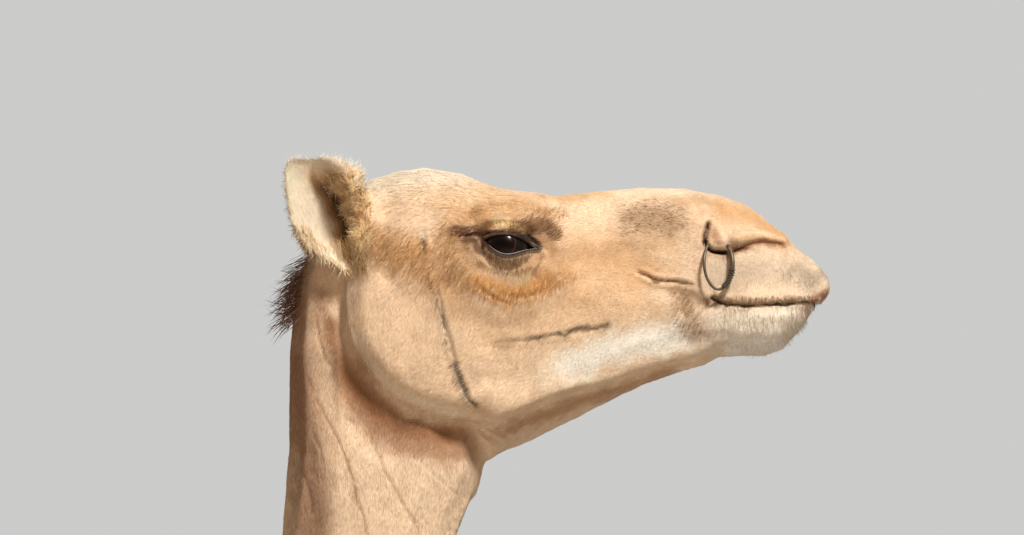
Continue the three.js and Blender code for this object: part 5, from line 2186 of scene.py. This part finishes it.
class BreastPad:
    """The bare callus under the breast."""

    def build(self) -> None:
        """Builds the pad in place of its node."""
        low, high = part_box("breast_pad")
        middle, half = (low + high) / 2, (high - low) / 2
        shape = bmesh.new()
        bmesh.ops.create_uvsphere(shape, u_segments=64, v_segments=40, radius=1.0)
        for vert in shape.verts:
            spot = vert.co.copy()
            spot.z = math.copysign(abs(spot.z) ** 0.8, spot.z)
            vert.co = middle + spot * half
        mesh = smooth_mesh(shape, "breast_callus")
        places, normals = places_of(mesh), normals_of(mesh)
        places += normals * (0.0012 * grain(places, 0.016, 41) + 0.0008 * grain(places, 0.006, 42))[:, None]
        put_places(mesh, places)
        placed(mesh, "breast_callus", "pad", self.callus(), "breast_pad")

    @staticmethod
    def callus() -> Material:
        """Brown callus, cracked into plates.

        Returns:
            The material.
        """
        material, nodes, shader = new_material("callus")
        place = nodes.place()
        cracks = nodes.add("ShaderNodeTexVoronoi", feature="DISTANCE_TO_EDGE")
        nodes.give(cracks, {"Vector": place, "Scale": 130.0})
        gap = nodes.maths("MULTIPLY", cracks.outputs["Distance"], 5.0, hold=True)
        plate = nodes.mix(nodes.noise(place, 60.0, 4.0), (0.10, 0.07, 0.05), (0.27, 0.20, 0.145))
        nodes.give(shader, {
            "Base Color": nodes.mix(gap, (0.04, 0.03, 0.022), plate),
            "Normal": nodes.bump(gap, 0.6, 0.0012),
            "Roughness": 0.8,
        })
        return material


# ---- the coat's regions


@dataclass(frozen=True)
class Band:
    """A band of longer or darker hair on the face, along a line of the side view. Millimetres."""

    path: Path
    reach: float
    count: int
    length: float
    lie: Spot
    colours: tuple[Colour, ...]
    stray: float = 0.2


BANDS: tuple[Band, ...] = (
    Band(
        (-25, -9, -16, -15, -5, -20.5, 6, -21, 17, -18, 28, -13), 2.4, 260, 7,
        (-0.1, 0.3, -1.0), ((120, 92, 68), (208, 180, 148), (160, 126, 94)),
    ),
    Band(
        (-28, -19, -14, -27, 2, -30, 18, -27, 30, -19), 5.0, 420, 7,
        (-0.05, 0.15, -1.0), ((146, 112, 84), (216, 186, 150), (182, 146, 108)),
    ),
    Band((-24, 3, -12, 7, 2, 8, 14, 6.5, 24, 1), 2.4, 220, 6, (0.25, 0.8, -0.1), ((40, 28, 22), (84, 60, 46))),
    Band(
        (8, 13, 26, 15, 42, 17, 50, 8), 10.0, 680, 8,
        (0.75, 0.2, 0.55), ((122, 86, 52), (162, 120, 74), (92, 64, 40)),
    ),
    Band((26, 24, 42, 32, 58, 32), 9.0, 160, 7, (0.75, 0.2, 0.6), ((190, 148, 98), (150, 112, 70))),
    Band((-54, 12, -40, 11, -26, 13), 6.0, 240, 7, (-0.9, 0.2, -0.1), ((108, 74, 56), (144, 100, 70))),
    Band((-26, 16, -6, 17, 12, 16), 6.0, 240, 5, (-0.2, 0.3, 0.8), ((214, 170, 114), (186, 140, 88), (234, 204, 150))),
    Band(
        (-42, 24, -22, 34, 6, 37, 34, 34), 9.0, 220, 7,
        (-0.5, 0.2, 0.6), ((204, 156, 102), (180, 132, 82), (224, 182, 132)), 0.35,
    ),
    Band(
        (-34, -44, -14, -55, 12, -58, 34, -52, 50, -42), 11.0, 620, 7.5,
        (-0.3, 0.1, -1.0), ((224, 160, 88), (190, 126, 64), (236, 194, 136), (226, 166, 94)), 0.4,
    ),
    Band((46, -30, 60, -38, 74, -30), 10.0, 140, 6, (-0.5, 0.1, -0.7), ((206, 148, 86), (232, 188, 136)), 0.4),
    Band(
        (-60, 20, -62, -10, -46, -40), 14.0, 420, 8,
        (-0.5, 0.1, -0.8), ((206, 156, 100), (228, 184, 132), (190, 138, 84)), 0.35,
    ),
    Band(
        (-150, 4, -124, -6, -96, -16, -72, -30), 28.0, 760, 9,
        (-0.6, 0.15, -0.7), ((206, 154, 98), (180, 128, 76), (230, 186, 136), (222, 174, 120)), 0.4,
    ),
    Band(
        (230, -56, 262, -59, 300, -57, 334, -54), 2.4, 280, 4.6,
        (0.1, 0.35, -1.0), ((136, 106, 76), (222, 198, 164), (178, 146, 108)),
    ),
    Band((238, -78, 280, -82, 318, -78), 14.0, 420, 6.5, (0.15, 0.1, -1.0), ((252, 242, 224), (214, 194, 166))),
    Band((240, -104, 276, -108, 308, -98), 8.0, 160, 5.5, (0.1, 0.1, -1.0), ((250, 238, 220), (222, 198, 170))),
    Band(
        (142, 28, 162, 34, 180, 30), 24.0, 420, 6.5,
        (-1.0, 0.1, 0.1), ((166, 136, 106), (200, 166, 130), (146, 118, 92)), 0.35,
    ),
    Band((192, -54, 194, -70, 202, -90), 16.0, 320, 6.5, (-0.7, 0.1, -0.7), ((150, 120, 86), (190, 156, 116)), 0.35),
    Band((306, -26, 322, -24, 330, -38), 12.0, 260, 5.5, (-0.4, 0.1, -1.0), ((146, 132, 112), (220, 206, 184))),
)


class Dressing:
    """Sows every region of the coat."""

    # how many tufts each region gets, on each side where it has two
    face_tufts = 70_000
    ear_tufts = 9_500
    wool_tufts = 3_600
    trunk_tufts = 36_000
    leg_tufts = 13_000
    mane_tufts = 380
    tail_tufts = 4_200
    throat_tufts = 3_600
    lip_hairs = 200

    def __init__(self, coat: Coat) -> None:
        """Takes the coat and reads where each triangle of the skin is.

        Args:
            coat: the coat.
        """
        self.coat = coat
        self.spots = head_xz(coat.middles)
        self.x, self.y, self.z = coat.middles.T
        self.clear = coat.keep_clear()
        self.ears = ear_share(coat.middles)

    def build(self) -> None:
        """Grows every piece of the coat."""
        for side in Side:
            self.face(side)
            self.ear(side)
            self.bands(side)
            self.trunk(side)
            self.legs(side)
        self.mane()
        self.tail()
        self.throat()
        self.whiskers()
        LOG.info("coat: %d triangles in all", self.coat.total)

    def half(self, side: Side) -> Array:
        """Which triangles are on one side."""
        return self.y * side >= 0

    @staticmethod
    def short(roots: Roots) -> Array:
        """How long the coat is on the face, as a share: shortest on the muzzle and round the eyes.

        Args:
            roots: the roots.

        Returns:
            The share of each root.
        """
        spots = head_xz(roots.places)
        share = 0.62 + 0.38 * ease((170 - spots[:, 0]) / 160)
        share = share * (0.55 + 0.45 * ease((np.hypot(spots[:, 0], spots[:, 1] + 6) - 24) / 40))
        crown = ease((spots[:, 1] - 40) / 30) * ease((40 - spots[:, 0]) / 60)
        return share * (1 + 0.35 * crown)

    def face(self, side: Side) -> None:
        """The short coat of the head and the upper neck.

        Args:
            side: which side.
        """
        density = self.clear * self.half(side) * (self.x > 0.5) * (self.ears < 0.5) * ease((self.z - 1.8) / 0.12)
        density *= 1.0 + 0.4 * ease((self.spots[:, 0] - 200) / 60)
        roots = self.coat.sown(density, self.face_tufts)
        upper = roots.places[:, 2] > 2.10
        build = Tuft(0.0068, 0.00062, 0.13, 0.04, 0.12, 0.5, blend=0.74, tint=0.12)
        for part, chosen in (("face", upper), ("neck", ~upper)):
            here = roots.picked(chosen)
            self.coat.grow(f"coat_{part}_{side.word}", here, build, self.short(here))

    def ear(self, side: Side) -> None:
        """The ear's coat, the wool before its slit, and the longer hair on its edges.

        Args:
            side: which side.
        """
        rng, coat = self.coat.rng, self.coat
        level, share, out, slit = EAR.share_of(coat.middles, side)
        on_ear = self.half(side) * (self.ears > 0.3)
        build = Tuft(0.0075, 0.0006, 0.14, 0.05, 0.15, 0.5, blend=0.72)
        coat.grow(f"coat_ear_{side.word}", coat.sown(on_ear * 1.0, self.ear_tufts), build)
        wool = on_ear * (share > slit + 0.11 + 0.05 * grain(coat.middles, 0.007, 54)) * (share < 1.04)
        wool = wool * (out > -1.0) * ease((78 - level) / 16) * (level > -14)
        roots = coat.sown(wool, self.wool_tufts)
        clump = np.stack([grain(roots.places, 0.006, seed) for seed in (51, 52, 53)], axis=1)
        lies = unit(np.array([-0.35, side * 0.35, 0.7]) + 1.7 * clump)
        light = np.clip(1.05 + 0.6 * clump[:, :1] + 0.1 * rng.normal(size=(len(lies), 1)), 0.3, 1.1)
        roots = replace(roots, lies=lies, colours=linear((252, 212, 160)) * light)
        coat.grow(f"ear_wool_{side.word}", roots, Tuft(0.0105, 0.0007, 0.34, 0.35, 0.7, 0.6, 3, 0.4, 0.25, 0.9, 0.06))
        parts, lengths = [], []
        tip, root = on_ear * (level > 54) * (share > 0.46), on_ear * (share < 0.3) * (level < 22)
        lobe = on_ear * (abs(share - 0.78) < 0.3) * (abs(level + 10) < 20)
        for where, count, lie, colour, long in (
            (tip, 560, (0.65, 0.1, 0.7), (250, 238, 218), 0.8),
            (on_ear * (level > 74), 260, (-0.1, 0.1, 1.0), (250, 236, 212), 0.5),
            (on_ear * (share < 0.12) * (level > 4), 360, (-0.75, 0.1, -0.2), (248, 232, 204), 0.45),
            (root * (out > -0.9), 620, (0.3, 0.35, -0.9), (246, 218, 176), 1.15),
            (lobe * (out > -1.0), 420, (0.3, 0.3, -1.0), (240, 206, 160), 1.5),
        ):
            some = coat.sown(where * 1.0, count)
            lies = unit(np.array(lie) * [1, int(side), 1] + 0.22 * rng.normal(size=(count, 3)))
            shades = linear(colour) * (0.85 + 0.25 * rng.random((count, 1)))
            parts.append(replace(some, lies=lies, colours=shades))
            lengths.append(np.full(count, long))
        edge = Tuft(0.0105, 0.00045, 0.22, 0.12, 0.3, 0.7, 3, 0.45, 0.2, 0.75, 0.05)
        coat.grow(f"ear_fringe_{side.word}", Roots.joined(parts), edge, np.concatenate(lengths))

    def trunk(self, side: Side) -> None:
        """The coat of the trunk, hump and lower neck.

        Args:
            side: which side.
        """
        high = (self.z > 1.0) * np.where(self.x < 0.45, 1.0, ease((1.93 - self.z) / 0.05))
        density = self.clear * self.half(side) * high * (self.x > -1.19)
        hump = ease((self.z - 1.85) / 0.15) * (self.x < 0.1)
        nearer = 3.0 * ease((self.z - 1.45) / 0.42) * (self.x > 0.3)
        roots = self.coat.sown(density * (1 + hump + nearer), self.trunk_tufts)
        z, x = roots.places[:, 2], roots.places[:, 0]
        longer = 1 + 0.9 * ease((z - 1.88) / 0.12) * (x < 0.1) - 0.74 * ease((z - 1.45) / 0.42) * (x > 0.3)
        build = Tuft(0.025, 0.0042, 0.13, 0.05, 0.16, 0.3, 1, 0.35, thin=0.9)
        self.coat.grow(f"coat_trunk_{side.word}", roots, build, longer)

    def legs(self, side: Side) -> None:
        """The short coat of the legs.

        Args:
            side: which side.
        """
        density = self.clear * self.half(side) * (self.z <= 1.02) * (self.x > -1.3)
        density *= 1 + ease((0.4 - self.z) / 0.3)
        tail = (self.x < -1.17) & (abs(self.y) < 0.05)
        roots = self.coat.sown(density * ~tail, self.leg_tufts)
        short = 0.55 + 0.45 * ease((roots.places[:, 2] - 0.12) / 0.5)
        self.coat.grow(f"coat_legs_{side.word}", roots, Tuft(0.018, 0.0034, 0.13, 0.05, 0.12, 0.35), short)

    def mane(self) -> None:
        """Dark hair standing off the nape."""
        nape = ease((0.685 - self.x) / 0.02) * ease((0.03 - abs(self.y)) / 0.014)
        nape *= ease((self.z - 2.180) / 0.03) * ease((2.276 - self.z) / 0.02)
        roots = self.coat.sown(self.clear * nape * (self.ears < 0.2), self.mane_tufts)
        lies = unit(np.array([-0.75, 0.0, -0.62]) + 0.16 * self.coat.rng.normal(size=(len(roots.places), 3)))
        dark = linear((122, 86, 68)) * (0.7 + 0.6 * self.coat.rng.random((len(roots.places), 1)))
        roots = replace(roots, lies=lies, colours=dark)
        self.coat.grow("mane", roots, Tuft(0.025, 0.0009, 0.3, 0.2, 0.35, 0.7, 4, 0.55, 0.3, 0.3, 0.15))

    def tail(self) -> None:
        """The tail's hair, long towards its tip."""
        on_tail = (self.x < -1.165) & (self.z < 1.62) & (abs(self.y) < 0.06)
        roots = self.coat.sown(on_tail * ease((1.6 - self.z) / 0.1 + 0.3), self.tail_tufts)
        z = roots.places[:, 2]
        longer = 0.5 + 1.8 * ease((1.3 - z) / 0.2)
        longer = np.minimum(longer, np.maximum((z - 0.96) / 0.055, 0.3))
        self.coat.grow("tail_hair", roots, Tuft(0.045, 0.0022, 0.1, 0.05, 0.15, 0.5, 3, 0.4, 0.1), longer)

    def throat(self) -> None:
        """Longer hair under the throat and down the front of the neck."""
        under = ease((self.coat.faces_out[:, 0] - 0.2) / 0.4) * (self.x > 0.25) * (self.z < 1.93) * (self.z > 1.3)
        under = under * ease((0.08 - abs(self.y)) / 0.04) * (1 + 2 * ease((1.75 - self.z) / 0.3))
        roots = self.coat.sown(under, self.throat_tufts)
        longer = 0.35 + 1.0 * ease((1.95 - roots.places[:, 2]) / 0.3)
        self.coat.grow("throat_hair", roots, Tuft(0.05, 0.003, 0.22, 0.16, 0.2, 0.45, 3, 0.4, 0.15), longer)

    def bands(self, side: Side) -> None:
        """The lashes and the other bands of longer or darker hair on the face.

        Args:
            side: which side.
        """
        coat, rng, parts, lengths = self.coat, self.coat.rng, [], []
        for band in BANDS:
            chosen, away, _, _ = Line(band.path).near(self.spots, band.reach)
            density = np.zeros(len(self.x))
            density[chosen] = ease((band.reach - away) / (0.6 * band.reach))
            off_ball = ease((slit_distance(self.spots) - 1.6) / 0.8) if abs(band.path[0]) < 60 else 1.0
            some = coat.sown(density * off_ball * self.half(side) * (self.z > 1.95) * (self.ears < 0.5), band.count)
            lies = np.array(band.lie) * [1, int(side), 1] + band.stray * rng.normal(size=(band.count, 3))
            shades = np.array([linear(colour) for colour in band.colours])
            shades = shades[rng.integers(len(shades), size=band.count)]
            parts.append(replace(some, lies=unit(lies), colours=shades))
            lengths.append(np.full(band.count, band.length))
        build = Tuft(1.0 * MM, 0.00042, 0.2, 0.08, 0.22, 0.6, 2, 0.35, 0.12, 0.72, 0.08)
        coat.grow(f"face_hair_{side.word}", Roots.joined(parts), build, np.concatenate(lengths))

    def whiskers(self) -> None:
        """Sparse long hairs on the lips and chin."""
        lips = (self.spots[:, 0] > 236) * (self.spots[:, 1] < 10) * (self.z > 2.05) * self.clear
        roots = self.coat.sown(lips * (1 + 2 * ease((self.spots[:, 0] - 300) / 30)), self.lip_hairs)
        pale = np.tile(linear((236, 222, 200)), (len(roots.places), 1))
        lies = unit(roots.lies + 0.9 * roots.normals)
        normals = unit(roots.normals - lies * (roots.normals * lies).sum(1, keepdims=True))
        roots = replace(roots, normals=normals, lies=lies, colours=pale)
        self.coat.grow("whiskers", roots, Tuft(0.0065, 0.00025, 0.2, 0.1, 0.4, 0.9, 3, 0.5, 0.4))


def main() -> None:
    """Loads the frame and builds every piece in order."""
    logging.basicConfig(level=logging.INFO, format="%(name)s: %(message)s")
    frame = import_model()
    nodes = frame["nodes"]
    Studio().build()
    hide = Hide()
    skin = Skin(nodes, hide).build(streak_group())
    LOG.info("skin: %d faces", len(skin.data.polygons))
    eye = Eye()
    for side in Side:
        eye.build(side)
        eye.rims(side)
        LOG.info("eye %s", side.word)
    NoseRing().build()
    Nails().build(nodes)
    BreastPad().build()
    Dressing(Coat(skin, hide)).build()


if __name__ == "__main__":
    main()
